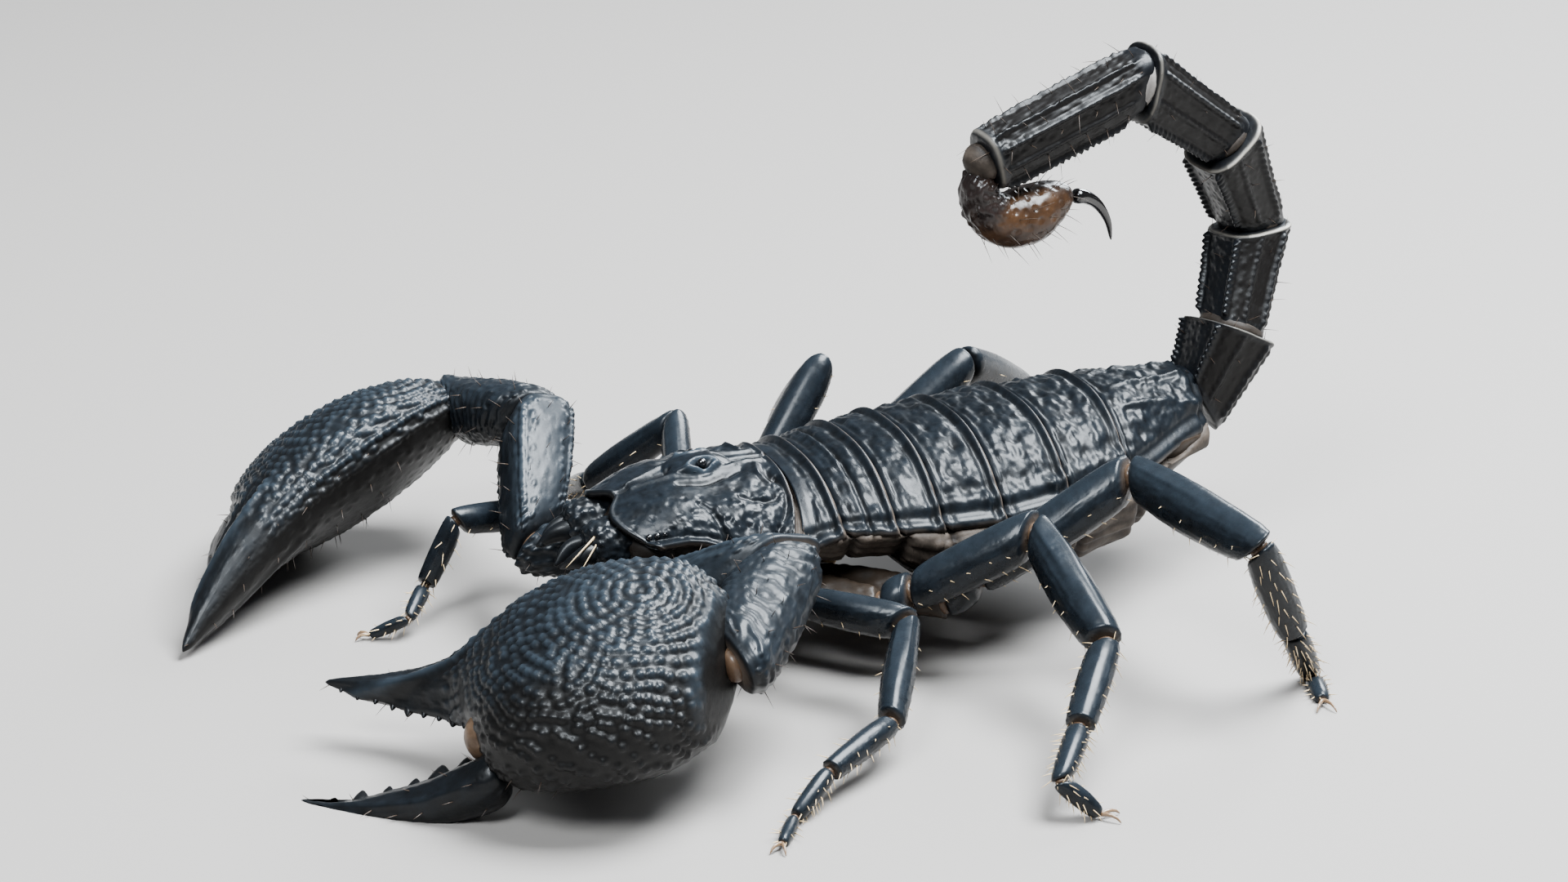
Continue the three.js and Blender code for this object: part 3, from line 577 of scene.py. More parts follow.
# ---------------------------------------------------------------- materials
class Wire:
    """A shader socket that can be added, multiplied and fed to further nodes."""

    def __init__(self, tree, socket):
        self.tree = tree
        self.socket = socket

    def make(self, kind, inputs, out=0, **settings):
        """Add a node with its settings and the values or links of its sockets."""
        node = self.tree.nodes.new(kind)
        for key, value in settings.items():
            setattr(node, key, value)
        for key, value in inputs.items():
            if isinstance(value, Wire):
                self.tree.links.new(value.socket, node.inputs[key])
            else:
                node.inputs[key].default_value = value
        return Wire(self.tree, node.outputs[out])

    def maths(self, operation, a, b):
        return self.make("ShaderNodeMath", {0: a, 1: b}, operation=operation)

    def __add__(self, other):
        return self.maths("ADD", self, other)

    def __mul__(self, other):
        return self.maths("MULTIPLY", self, other)

    __radd__ = __add__
    __rmul__ = __mul__

    def between(self, low, high):
        """0 at low, 1 at high, clamped."""
        return self.make("ShaderNodeMapRange", {0: self, 1: low, 2: high, 3: 0.0, 4: 1.0})

    def noise(self, size_mm, detail=3.0, roughness=0.55):
        inputs = {"Vector": self, "Scale": 1 / (size_mm * MM), "Detail": detail, "Roughness": roughness}
        return self.make("ShaderNodeTexNoise", inputs)

    def cells(self, size_mm):
        """Distance from the middle of the nearest cell."""
        return self.make("ShaderNodeTexVoronoi", {"Vector": self, "Scale": 1 / (size_mm * MM)})

    def mix(self, first, second):
        """A colour mixed by this socket, from the first to the second."""
        return self.make("ShaderNodeMix", {0: self, 6: first, 7: second}, out=2, data_type="RGBA")

    def attribute(self, name):
        """The share of a finish that was painted on the piece."""
        return self.make("ShaderNodeAttribute", {}, out=2, attribute_name=name)

    def bump(self, strength, depth_mm, normal=None):
        inputs = {"Height": self, "Strength": strength, "Distance": depth_mm * MM}
        if normal:
            inputs["Normal"] = normal
        return self.make("ShaderNodeBump", inputs)


def new_material(name):
    """An empty material, and the wire of the places on its piece."""
    material = bpy.data.materials.new(name)
    material.use_nodes = True
    tree = material.node_tree
    tree.nodes.clear()
    place = tree.nodes.new("ShaderNodeTexCoord")
    return material, Wire(tree, place.outputs["Object"])


def end_in(place, surface):
    node = place.tree.nodes.new("ShaderNodeOutputMaterial")
    place.tree.links.new(surface.socket, node.inputs["Surface"])


def rgb(r, g, b):
    return (r, g, b, 1.0)


# Colours of the shell: in shade, under its bloom, painted sheen on tops, painted shade in hollows, and on
# rims
DARK = rgb(0.0019, 0.0024, 0.0031)
BLOOM = rgb(0.0062, 0.0086, 0.0115)
PAINTED_SHEEN = rgb(0.021, 0.0285, 0.0365)
HOLLOW_SHADE_AND_TONE = rgb(0.0018, 0.0017, 0.0017)
PALE_RIM = rgb(0.14, 0.105, 0.08)
SHEEN = 0.16  # specular level of shell and skin


def cuticle(name, dark, bloom, hollow, rim, gloss, pit_mm, pit_depth, grain_depth=0.02, coat=0.12):
    """Wet-looking shell: blue-grey bloom on black, painted sheen on tops, painted shade in hollows and
    some darker parts, pale rims, fine pits.
    """
    material, place = new_material(name)
    mottle = place.noise(1.6, 5.0, 0.65).between(0.3, 0.72)
    base = mottle.mix(dark, bloom)
    # painted sheen lightens tops; painted shade darkens hollows and undersides
    base = place.attribute("worn").mix(base, PAINTED_SHEEN)
    base = place.attribute("hollow").mix(base, hollow)
    base = place.attribute("rim").mix(base, rim)
    fine = place.noise(0.42, 5.0, 0.65)
    roughness = place.noise(1.1, 3.0, 0.5) * 0.22 + (gloss - 0.11) + place.attribute("hollow") * 0.12
    pits = place.cells(pit_mm).between(0.05, 0.34)
    relief = pits.bump(0.8, pit_depth, fine.bump(0.7, grain_depth))
    surface = place.make("ShaderNodeBsdfPrincipled", {
        "Base Color": base, "Roughness": roughness, "Normal": relief,
        "IOR": 1.5, "Specular IOR Level": SHEEN,
        "Coat Weight": coat, "Coat Roughness": 0.16, "Coat IOR": 1.35,
    })
    end_in(place, surface)
    return material


def soft_material(name, low, high, shade_and_tone, roughness, line_mm=0.5, depth=0.05, coat=0.0):
    """Skin between plates: mottled, with fine folds, and a darker tone where painted, as painted shade in
    creases and gaps.
    """
    material, place = new_material(name)
    base = place.noise(1.8, 4.0, 0.6).between(0.35, 0.68).mix(low, high)
    # painted shade: the darker tone where the piece paints it
    base = place.attribute("hollow").mix(base, shade_and_tone)
    folds = place.noise(line_mm, 3.0, 0.65)
    surface = place.make("ShaderNodeBsdfPrincipled", {
        "Base Color": base, "Roughness": place.noise(1.0) * 0.2 + (roughness - 0.1),
        "Normal": folds.bump(0.8, depth), "Specular IOR Level": SHEEN,
        "Coat Weight": coat, "Coat Roughness": 0.2,
    })
    end_in(place, surface)
    return material


def plain_material(name, colour, roughness, coat=0.0):
    """One colour all over."""
    material, place = new_material(name)
    surface = place.make("ShaderNodeBsdfPrincipled", {
        "Base Color": colour, "Roughness": roughness, "Coat Weight": coat, "Coat Roughness": 0.08,
    })
    end_in(place, surface)
    return material


def telson_material():
    """Amber bulb, dark at its neck and toward the sting."""
    material, place = new_material("telson amber")
    mottle = place.noise(2.2, 4.0, 0.6).between(0.3, 0.7)
    amber = mottle.mix(rgb(0.018, 0.0085, 0.0042), rgb(0.052, 0.0245, 0.0105))
    base = place.attribute("hollow").mix(amber, rgb(0.012, 0.008, 0.007))
    pits = place.cells(0.75).between(0.06, 0.3)
    surface = place.make("ShaderNodeBsdfPrincipled", {
        "Base Color": base, "Roughness": place.noise(1.2) * 0.2 + 0.2,
        "Normal": pits.bump(0.6, 0.04, place.noise(0.6).bump(0.5, 0.015)),
        "IOR": 1.5, "Specular IOR Level": 0.25, "Coat Weight": 0.1, "Coat Roughness": 0.15,
    })
    end_in(place, surface)
    return material


back_shell = cuticle("back shell", DARK, BLOOM, HOLLOW_SHADE_AND_TONE, PALE_RIM, 0.37, 1.1, 0.02, 0.028)
head_shell = cuticle("head shell", DARK, BLOOM, HOLLOW_SHADE_AND_TONE, PALE_RIM, 0.33, 0.9, 0.022, 0.022)
claw_shell = cuticle("claw shell", DARK, BLOOM, rgb(0.002, 0.0017, 0.0015), PALE_RIM,
                     0.34, 0.8, 0.014, 0.018)
leg_shell = cuticle("leg shell", DARK, BLOOM, HOLLOW_SHADE_AND_TONE, rgb(0.15, 0.10, 0.065),
                    0.28, 1.2, 0.02, 0.014)
tail_shell = cuticle("tail shell", rgb(0.0018, 0.002, 0.0025), rgb(0.0045, 0.0058, 0.0078),
                     rgb(0.0022, 0.0016, 0.0013), rgb(0.26, 0.235, 0.20), 0.36, 0.9, 0.02, 0.02)
belly_shell = cuticle("belly shell", rgb(0.013, 0.0085, 0.0055), rgb(0.032, 0.022, 0.015),
                      rgb(0.006, 0.0042, 0.003), rgb(0.16, 0.12, 0.085), 0.42, 1.2, 0.02, 0.02, 0.0)
side_skin = soft_material("side skin", rgb(0.028, 0.021, 0.016), rgb(0.072, 0.056, 0.044),
                          rgb(0.009, 0.0065, 0.005), 0.6, 0.5, 0.06)
joint_skin = soft_material("joint skin", rgb(0.052, 0.031, 0.018), rgb(0.125, 0.078, 0.047),
                           rgb(0.03, 0.015, 0.008), 0.42, 0.4, 0.04, 0.2)
pale_skin = soft_material("pale joint skin", rgb(0.26, 0.24, 0.22), rgb(0.46, 0.44, 0.41),
                          rgb(0.06, 0.05, 0.045), 0.36, 0.4, 0.04, 0.3)
comb_skin = soft_material("comb", rgb(0.26, 0.17, 0.09), rgb(0.42, 0.30, 0.18),
                          rgb(0.1, 0.06, 0.03), 0.5)
telson_amber = telson_material()
polished_black = plain_material("polished black", rgb(0.0035, 0.003, 0.003), 0.16, 0.6)
eye_black = plain_material("eye black", rgb(0.002, 0.002, 0.0025), 0.05, 1.0)
pale_bristle = plain_material("pale bristle", rgb(0.50, 0.36, 0.20), 0.42)
dark_bristle = plain_material("dark bristle", rgb(0.045, 0.028, 0.018), 0.45)
claw_horn = plain_material("foot claw horn", rgb(0.16, 0.095, 0.05), 0.3, 0.3)


def settle(clay, material, slot, *nodes):
    """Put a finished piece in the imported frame, in metres, with its finish and what it stands for."""
    piece = clay.piece
    clay.move_to(clay.at * MM + SHIFT)
    piece.data.materials.clear()
    piece.data.materials.append(material)
    piece.data.polygons.foreach_set("use_smooth", [True] * len(piece.data.polygons))
    piece.data.update()
    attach(piece, "root")
    if nodes:
        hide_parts(*nodes)


# ---------------------------------------------------------------- back plates and soft sides
def rolled(edge, width, depth):
    """How far a rim is rolled down at a distance from its edge."""
    t = np.clip(1 - edge / width, 0, 1)
    return depth * (1 - np.sqrt(1 - t * t))


def on_back(u, y, sink=0.0):
    """Places on the back, u being -1 to 1 from margin to margin, sunk by the given amount."""
    half, drop, crown = form_at(BACK, y)
    return np.stack([u * (half - sink), y, crown - sink - (drop - sink) * np.abs(u) ** DOME], 1)


TUCK = 0.8  # how far a back plate's front edge runs in under the plate before it
BACK_WALL = 0.55  # thickness of a back plate
BACK_CELL = 0.19  # length of the cells that a back plate is modelled in
CREASE = 1.5  # where the crease across the second plate lies, along y
KEELS_7 = (2.6, 6.0)  # distances of the last plate's keels from the middle line


def back_relief(clay, k, u, y, from_front, from_rear, from_side):
    """The sculpture of a back plate, coarser toward the tail."""
    coarse = min(k / 5, 1)
    inner = ease(from_rear, 0.8, 1.9) * ease(from_side, 1.2, 3.4) * ease(from_front, 0.9, 1.9)
    across = clay.rough(1.35, (2.2, 0.75, 1.4), 3.1 * k, 2)
    lumps = clay.rough(2.1, (1.25, 0.9, 1.0), 7.7 * k, 2)
    fine = clay.rough(0.75, (1.7, 0.8, 1.0), 11.0 + k, 2)
    wrinkles = inner * (across * (0.20 - 0.07 * coarse) + lumps * (0.13 + 0.2 * coarse) + 0.09 * fine)
    dimples = clay.grains(clay.scatter(1.7, inner > 0.5, 40 + k), 0.62, -0.08)
    rim = 0.24 * hill(from_rear, 0.42, 0.26) - 0.3 * hill(from_rear, 1.15, 0.36)
    flange = 0.2 * hill(from_side, 0.6, 0.42) - 0.26 * hill(from_side, 1.5, 0.5)
    second = 0.18 * hill(from_side, 2.6, 0.6) - 0.2 * hill(from_side, 3.8, 0.8)
    second = second * coarse * (0.3 if k == 7 else 1)
    corner = 0.5 * hill(from_side, 2.3, 0.8) * hill(from_rear, 1.7, 0.6) * coarse
    low_front = -0.18 * hill(from_front, TUCK + 0.75, 0.35)
    relief = wrinkles + dimples + rim * ease(from_side, 0, 1) + flange + second + corner + low_front
    if k == 2:
        relief = relief - 0.42 * hill(y, CREASE, 0.26) + 0.16 * hill(y, CREASE - 0.55, 0.3)
    if k == 7:
        from_middle = np.abs(u) * form_at(BACK, y)[0]
        keel = sum(hill(from_middle, place - 0.05 * (y - 36), 0.42) for place in KEELS_7)
        relief = relief + 0.38 * keel * ease(from_front, 2, 4) * ease(from_rear, 1, 3)
    return relief - rolled(np.minimum(from_rear, from_side), 0.42, 0.42)


def back_plate(k):
    """One plate of the back: tucked-in front, wrinkled middle, raised margins and a pale rear rim."""
    first, last = k == 1, k == 7
    start, end = BACK[k - 1][0] + GAP / 2 - TUCK, BACK[k][0] - GAP / 2
    clay = sheet_of(f"back plate {k}", 156, round((end - start) / BACK_CELL))
    u, t = clay.grid()
    front = start + (TUCK - CORNER_BEHIND * u ** 4 if first else 0)
    y = front + (end - front) * t
    from_side = (1 - np.abs(u)) * form_at(BACK, y)[0] * 1.25
    from_front, from_rear = y - front, end - y
    sink = LAP * (1 - t) + (0 if first else 1.15 * (1 - ease(from_front, 0, TUCK + 0.55)))
    place = u
    if last:
        place = u * (1 - 0.1 * ease(t, 0.1, 0.9))
        sink = sink + 0.9 * (1 - ease(from_rear, 0, 1.6))
    clay.move_to(on_back(place, y, sink))
    relief = back_relief(clay, k, u, y, from_front, from_rear, from_side)
    clay.push(relief)
    edge = hill(from_rear, 0.12, 0.16) * (0.55 + 0.45 * hill(np.abs(u), 0.6, 0.5))
    edge = np.maximum(edge, 0.5 * hill(from_side, 0.1, 0.14))
    clay.paint("rim", edge * (0.55 + 0.7 * clay.rough(1.1)))
    # painted shade: darker where the relief sinks
    clay.paint("hollow", -relief * 2.2 - 0.15)
    settle(shelled(clay, BACK_WALL), back_shell, "back_cuticle", f"tergite_{k}")


def neck_skin():
    """The skin between the head shield and the first back plate, a pale wedge at each corner."""
    clay = sheet_of("neck skin", 150, 16)
    u, t = clay.grid()
    front = SHIELD[-1][0] - CORNER * u ** 4 - 0.8
    rear = BACK[0][0] - CORNER_BEHIND * u ** 4 + 1.0
    y = front + (rear - front) * t
    clay.move_to(on_back(0.985 * u, y, 1.4 - 1.0 * np.abs(u) ** 3))
    clay.push(0.1 * np.sin(t * 2 * np.pi * 3) + 0.1 * clay.rough(1.2))
    # painted shade across the middle, where the skin lies deep between shield and plate
    clay.paint("hollow", 0.9 * (1 - ease(np.abs(u), 0.6, 0.8)))
    settle(shelled(clay, 0.3), side_skin, "soft_skin")


def belly_low(y):
    """Height of the belly's lowest line, which rises to the tail and to the head."""
    return BELLY_Z + 10.8 * ease(y, 31, 50) + 4.4 * ease(-y, -12, -5)


def soft_body():
    """The soft skin between back and belly plates: bulging at the sides, creased at each plate."""
    clay = copy_of_solid("abdomen_soft", "soft body", 0.34, 6)
    x, y, z = clay.at.T
    half, drop, crown = form_at(BACK, y)
    margin = crown - drop
    low = belly_low(y) + 1.2
    level = np.clip((z - low) / (margin - low), 0, 1)
    side = ease(np.abs(x), 0.5 * half, 0.8 * half) * (z < margin + 0.2)
    swell = np.sin(np.pi * level) ** 0.7
    crease = sum(hill(y, row[0] + 0.8, 0.5) for row in BACK[1:-1])
    fold = np.sin(level * 2 * np.pi * 9 + 2.6 * clay.rough(3.0, (1, 2.2, 1)))
    broad = hill(level, 0.5, 0.09)
    along = ease(y, -7, -2) * (1 - ease(y, 37, 44))
    creping = clay.rough(1.2, (1, 2.5, 0.8))
    relief = 0.95 * swell - 0.7 * crease - 0.3 * broad + 0.10 * fold + 0.14 * creping
    clay.push(relief * side * along)
    sag = along * ease(np.abs(x), 0.55 * half, 0.85 * half) * (1 - ease(level, 0.35, 0.85))
    drift = np.stack([0.7 * np.sign(x), np.zeros(len(x)), np.full(len(x), -1.5)], 1)
    clay.move_to(clay.at + drift * sag[:, None])
    # painted shade in the creases and folds; the skin is also darker toward the bottom
    clay.paint("hollow", side * (0.5 * np.clip(-fold, 0, 1) + 0.8 * crease) + 0.25 * (1 - level) * side)
    settle(clay, side_skin, "soft_skin", "abdomen_soft")


def belly_plate(k):
    """A smooth brown belly plate with a pale rear rim and, but for the last, two breathing slits."""
    last = k == 4
    start, end = BELLY[k] + GAP / 2, BELLY[k + 1] - GAP / 2
    clay = sheet_of(f"belly plate {k + 3}", 80, round((end - start) / 0.32))
    u, t = clay.grid()
    y = start + (end - start) * t
    full, drop, crown = form_at(BACK, y)
    half = full * BELLY_WIDTH
    places = np.stack([u * half, y, belly_low(y) + 1.6 * np.abs(u) ** DOME], 1)
    if last:  # rolled up at its sides to the back plate's margins, as a trough
        wrap = ease(t, 0.0, 0.6)
        low, high = belly_low(y) - 1.8 * wrap, crown - 0.76 * drop + 0.2
        turn = 1.6 * u
        trough = np.stack([0.93 * full * np.sin(turn), y, low + (high - low) * (1 - np.cos(turn))], 1)
        places = places + (trough - places) * wrap[:, None]
    clay.move_to(places)
    clay.piece.data.flip_normals()
    from_rear, from_side = end - y, (1 - np.abs(u)) * half
    relief = 0.12 * hill(from_rear, 0.4, 0.3) - 0.12 * hill(from_rear, 1.1, 0.4)
    relief = relief - 0.15 + 0.1 * clay.rough(2.6, (1.5, 1, 1))
    relief = relief - rolled(np.minimum(from_rear, from_side), 0.4, 0.35)
    if not last:
        slit = hill(np.abs(u), 0.62, 0.075) * hill(t, 0.5, 0.07)
        relief = relief - 0.5 * slit
    clay.push(relief)
    clay.paint("rim", 0.8 * hill(from_rear, 0.1, 0.2))
    settle(shelled(clay, 0.6), belly_shell, "belly_cuticle", f"sternite_{k + 3}")


def comb(side, sign):
    """A comb organ: a jointed shaft with a row of rounded teeth."""
    length, teeth = 9.5, 13
    root = np.array([sign * 1.2, 0.2, 6.0])
    way = unit((sign * 0.86, 0.62, 0))
    back = unit((-sign * 0.3, 1, -0.06))
    shaft_form = straight((0, 0.5, 0.5), (0.6, 0.75, 0.6), (length - 1, 0.55, 0.5),
                          (length, 0.25, 0.25))
    tooth_form = straight((0, 0.28, 0.4), (1.1, 0.3, 0.5), (2.1, 0.33, 0.45), (2.5, 0.15, 0.2))
    pieces = [lay(draw_out("comb shaft", shaft_form, 8, 2), root, back, (0, 0, 1), way).piece]
    for k in range(teeth):
        place = root + way * (0.5 + k * 0.7) + back * 0.3
        pieces.append(lay(draw_out("comb tooth", tooth_form, 8, 1), place, way, (0, 0, 1), back).piece)
    settle(Clay(joined(pieces, f"comb {side}")), comb_skin, "comb_cuticle", f"pecten_{side}")


# ---------------------------------------------------------------- head
def on_shield(u, t):
    """Places on the head shield, and how far each lies from its front, rear and side margins."""
    lobes = NOTCH * hill(u, 0, 0.3) + 4.2 * np.abs(u) ** 5
    front = SHIELD[0][0] + lobes
    back = SHIELD[-1][0] - GAP / 2 - CORNER * u ** 4
    y = front + (back - front) * t
    half, drop, crown = form_at(SHIELD, y)
    cut = u * (1 - TRIM * (1 - ease(t, 0.2, 0.85)))
    places = np.stack([cut * half, y, crown - drop * np.abs(cut) ** DOME], 1)
    return places, y - front, back - y, (1 - np.abs(u)) * half * 1.2


# Swellings and hollows of the left half of the head shield: x, y, half width, half length, height
SHIELD_LOBES = [
    (4.6, -20.3, 2.6, 3.6, 0.45),
    (7.2, -18.0, 2.4, 3.2, 0.40),
    (5.4, -13.2, 1.6, 3.4, -0.38),
    (8.6, -12.8, 2.0, 2.0, 0.45),
    (10.2, -11.6, 0.8, 0.7, -0.55),
    (9.9, -8.6, 1.7, 1.9, 0.42),
    (4.6, -8.6, 2.0, 2.2, 0.35),
    (11.4, -16.5, 1.0, 2.6, -0.30),
    (4.6, -7.0, 1.3, 0.55, -0.75),
]
# Furrows and ridges of the left half: points (x, y), half width, height
SHIELD_LINES = [
    (((0.0, -24.0), (0.0, -21.0), (0.0, -17.0)), 0.35, -0.55),
    (((0.0, -11.5), (0.0, -8.0), (0.0, -5.6)), 0.32, -0.5),
    (((0.6, -21.5), (1.2, -18.5), (1.7, -16.0), (2.3, -14.4)), 0.42, 0.42),
    (((2.3, -12.6), (2.0, -10.6), (1.4, -8.6), (1.5, -6.6)), 0.42, 0.38),
    (((3.2, -17.0), (3.9, -14.5), (3.6, -12.0), (3.0, -9.6)), 0.5, -0.42),
    (((12.3, -14.2), (10.4, -14.4), (8.4, -15.0), (6.8, -16.0)), 0.32, -0.4),
    (((7.2, -11.4), (8.0, -9.8), (8.2, -8.0), (7.2, -6.6)), 0.35, -0.42),
    (((5.2, -6.4), (7.4, -6.0), (9.6, -7.0), (11.4, -8.8)), 0.34, -0.5),
    (((2.4, -7.6), (4.4, -8.2), (6.4, -7.5)), 0.3, 0.3),
]


def shield_relief(clay, from_front, from_rear, from_side):
    """The sculpture of the head shield, its eye mound and the raised lids round its eyes."""
    x, y, _ = clay.at.T
    aside = np.abs(x)
    mound = 1.25 * np.sqrt(np.clip(1 - (x / 2.5) ** 2 - ((y - EYE[1]) / 3.9) ** 2, 0, 1)) ** 1.4
    relief = mound
    for lobe_x, lobe_y, wide, long, height in SHIELD_LOBES:
        relief = relief + height * hill(aside, lobe_x, wide) * hill(y, lobe_y, long)
    flat = Clay(clay.piece)
    flat.at = np.stack([aside, y, 0 * x], 1)
    for line, width, height in SHIELD_LINES:
        relief = relief + flat.crest(curve_through([(px, py, 0) for px, py in line], 6), width, height)
    almond = np.hypot((aside - LIDS_AT) / 0.75, (y - EYE[1]) / 1.6)
    lids = hill(almond, 1, 0.24)
    relief = relief + 0.38 * lids - 0.6 * hill(almond, 0, 0.65)
    crumple = clay.rough(1.3, (1, 1.1, 1), 5.0, 2) * 0.2 + clay.rough(0.7, (1, 1, 1), 9.0, 1) * 0.04
    crumpled = np.maximum(ease(aside, 3.2, 6.5) * ease(y, -17, -9), 0.75 * ease(aside, 7.5, 10))
    inner = ease(from_side, 0.7, 1.8) * ease(from_front, 0.5, 1.5) * ease(from_rear, 0.5, 1.4)
    relief = relief + crumple * inner * (0.3 + 0.7 * crumpled)
    beads = clay.scatter(0.95, (aside > 7.6) & (from_side > 0.9), 11)
    pits = clay.scatter(1.6, (aside > 3.6) & (inner > 0.6), 12)
    relief = relief + clay.grains(beads, 0.46, 0.11)
    relief = relief + clay.grains(pits, 0.42, -0.08)
    relief = relief + 0.3 * hill(from_side, 0.45, 0.3) - 0.3 * hill(from_side, 1.2, 0.4)
    relief = relief + 0.2 * hill(from_front, 0.4, 0.25) + 0.22 * hill(from_rear, 0.4, 0.25)
    nearest = np.minimum(np.minimum(from_front, from_rear), from_side)
    return relief - rolled(nearest, 0.45, 0.45), mound, lids


def head_shield():
    """The head shield: glossy front lobes, eye mound, furrows, dimpled sides and a raised rim."""
    clay = sheet_of("head shield", 190, 128)
    places, from_front, from_rear, from_side = on_shield(*clay.grid())
    clay.move_to(places)
    relief, mound, lids = shield_relief(clay, from_front, from_rear, from_side)
    clay.push(relief)
    # painted shade in furrows and hollows, and darker along the front edge
    shade = np.clip(-(relief - mound) * 1.6 - 0.1, 0, 1)
    clay.paint("hollow", shade + 0.9 * hill(from_front, 0, 0.35))
    clay.paint("rim", 0.35 * hill(from_rear, 0.1, 0.2) + 0.35 * hill(from_side, 0.1, 0.15))
    # painted highlight on the raised lids round the eyes
    clay.paint("worn", lids)
    settle(shelled(clay, 0.6), head_shell, "back_cuticle", "carapace")


def eyes():
    """Glossy lenses: a pair on the mound and three at each front corner of the shield."""
    for side, sign in (("left", 1), ("right", -1)):
        lens = lump(f"middle eye {side}", (sign * EYE[0], EYE[1], EYE[2]), (EYE_RADIUS,) * 3, 24)
        settle(lens, eye_black, "eye_black", f"eye_median_{side}")
        across, along = SIDE_EYES
        spots = on_shield(np.full(len(along), across), np.array(along))[0]
        row = [lump("side eye", (sign * x, y, z - 0.08), (SIDE_EYE_RADIUS,) * 3).piece
               for x, y, z in spots]
        settle(Clay(joined(row, f"side eyes {side}")), eye_black, "eye_black", f"eyes_lateral_{side}")


def head_underside():
    """The body under the head shield, with the roots of legs and arms, and a rounded front painted dark
    as shade under the shield's front.
    """
    clay = copy_of_solid("prosoma_underside", "head underside", 0.42, 7)
    relief = 0.14 * clay.rough(1.6, (1, 1, 1), 2.0, 3)
    clay.push(relief + clay.grains(clay.scatter(1.3, None, 5), 0.5, 0.1))
    # painted shade over the underside, deeper in its low places
    clay.paint("hollow", np.full(len(clay.at), 0.35) - relief)
    front = lump("head front", (0, -20.4, 15.3), (8.2, 4.8, 3.2), 32)
    # the front is painted dark, as shade under the shield
    front.paint("hollow", np.full(len(front.at), 0.95))
    clay = Clay(joined([clay.piece, front.piece], "head underside"))
    settle(clay, belly_shell, "belly_cuticle", "prosoma_underside")


# A jaw of the left side: its root, knuckle and tip
JAW = ((2.9, -21.6, 15.4), (3.3, -28.0, 15.5), (3.0, -31.6, 13.4))
JAW_PALM = straight((0, 1.9, 2.2), (0.8, 2.5, 2.7), (3.2, 2.85, 3.05), (5.4, 2.6, 2.8), (6.5, 1.9, 2.1))


def jaw(side, sign):
    """A chelicera: a stout granular palm with a fixed and a movable finger."""
    root, knuckle, tip = (np.array((sign * x, y, z)) for x, y, z in JAW)
    axis, across, up = link_frames((root, knuckle), (1, 0, 0))[0]
    palm = draw_out("jaw palm", JAW_PALM)
    relief = palm.grains(palm.scatter(0.85, None, 3), 0.42, 0.2) + 0.2 * palm.rough(1.2)
    palm.push(relief)
    # painted shade between the grains
    palm.paint("hollow", 0.35 - relief * 2)
    pieces = [lay(palm, root, across, up, axis).piece]
    for turn, width in ((-1, 0.95), (1, 1.15)):
        form = straight((0, 0.9, 1.1), (1, width, 1.3), (3.0, 0.7, 0.9), (4.4, 0.3, 0.35),
                        (4.9, 0.1, 0.12))
        finger = draw_out("jaw finger", form, 10, 2)
        start = knuckle - 1.0 * axis + across * turn * 0.95
        bow = start + np.array((sign * turn * 0.5, -2.2, -0.5))
        end = np.array((tip[0] + turn * sign * 0.35, tip[1] + 0.1, tip[2] + 0.1))
        follow(finger, curve_through((start, bow, end), 6), across)
        finger.paint("hollow", np.full(len(finger.at), 0.6))
        pieces.append(finger.piece)
    settle(Clay(joined(pieces, f"jaw {side}")), head_shell, "claw_cuticle", f"chelicera_{side}")


# ---------------------------------------------------------------- bristles
# Each bristle: root, direction, length, radius, and its place on the unwrap of the limb it grows from
BRISTLES = {"leg": [], "arm": [], "tail": [], "body": []}
LIMBS = []  # the limb pieces that bristles grow from, in the order of their tiles on the unwrap
PATCH = 0.003  # side of a bristle's patch on the unwrap
SAG = 0.15  # how far a bristle's tip droops, for each millimetre of its length
SHORTEST = 0.35  # a bristle that would have to be cut shorter is left out


def room_for(root, way, length):
    """The length to which a bristle is cut to stay over the floor and inside the solids' box."""
    low, high = ((np.array(corner) - SHIFT) / MM for corner in SOLID_BOX)
    tip = way * length - np.array((0, 0, SAG * length))
    for k in range(3):
        room = (high[k] - root[k]) if tip[k] > 0 else (root[k] - low[k])
        length = min(length, 0.95 * max(room - 0.1, 0) / max(abs(tip[k] / length), 1e-6))
    return length


def grow_bristles(coat, clay, name, where, spacing, length, radius, lean, seed):
    """Plan bristles on the chosen part of a laid piece, leaning along the given direction."""
    roots = clay.scatter(spacing, where, seed)
    tree = kdtree.KDTree(len(clay.at))
    for i, p in enumerate(clay.at):
        tree.insert(p, i)
    tree.balance()
    normals = clay.out
    low, high = clay.at.min(0), clay.at.max(0)
    long_way = int(np.argmax(high - low))
    if name not in LIMBS:
        LIMBS.append(name)
    tile = LIMBS.index(name)
    chance = random.Random(seed)
    for root in roots:
        _, i, _ = tree.find(root)
        jitter = np.array([chance.uniform(-0.3, 0.3) for _ in range(3)])
        way = unit(normals[i] + lean + jitter)
        about = normals[i][(long_way + 1) % 3], normals[i][(long_way + 2) % 3]
        place = ((root[long_way] - low[long_way]) / (high[long_way] - low[long_way]),
                 math.atan2(*about) / (2 * math.pi) + 0.5)
        root = root - normals[i] * 0.1
        kept = room_for(root, way, length * chance.uniform(0.65, 1.2))
        if kept > SHORTEST:
            BRISTLES[coat].append((root, way, kept, radius, tile, place))


def bristle_template():
    """One hair of unit length along z: three sides, four rings, ending almost in a point."""
    form = straight((0, 1, 1), (0.35, 0.8, 0.8), (0.7, 0.5, 0.5), (1, 0.12, 0.12))
    hair = draw_out("bristle", form, 3, 0)
    faces = [tuple(face.vertices) for face in hair.piece.data.polygons]
    points = hair.at.copy()
    bpy.data.objects.remove(hair.piece)
    return points, faces


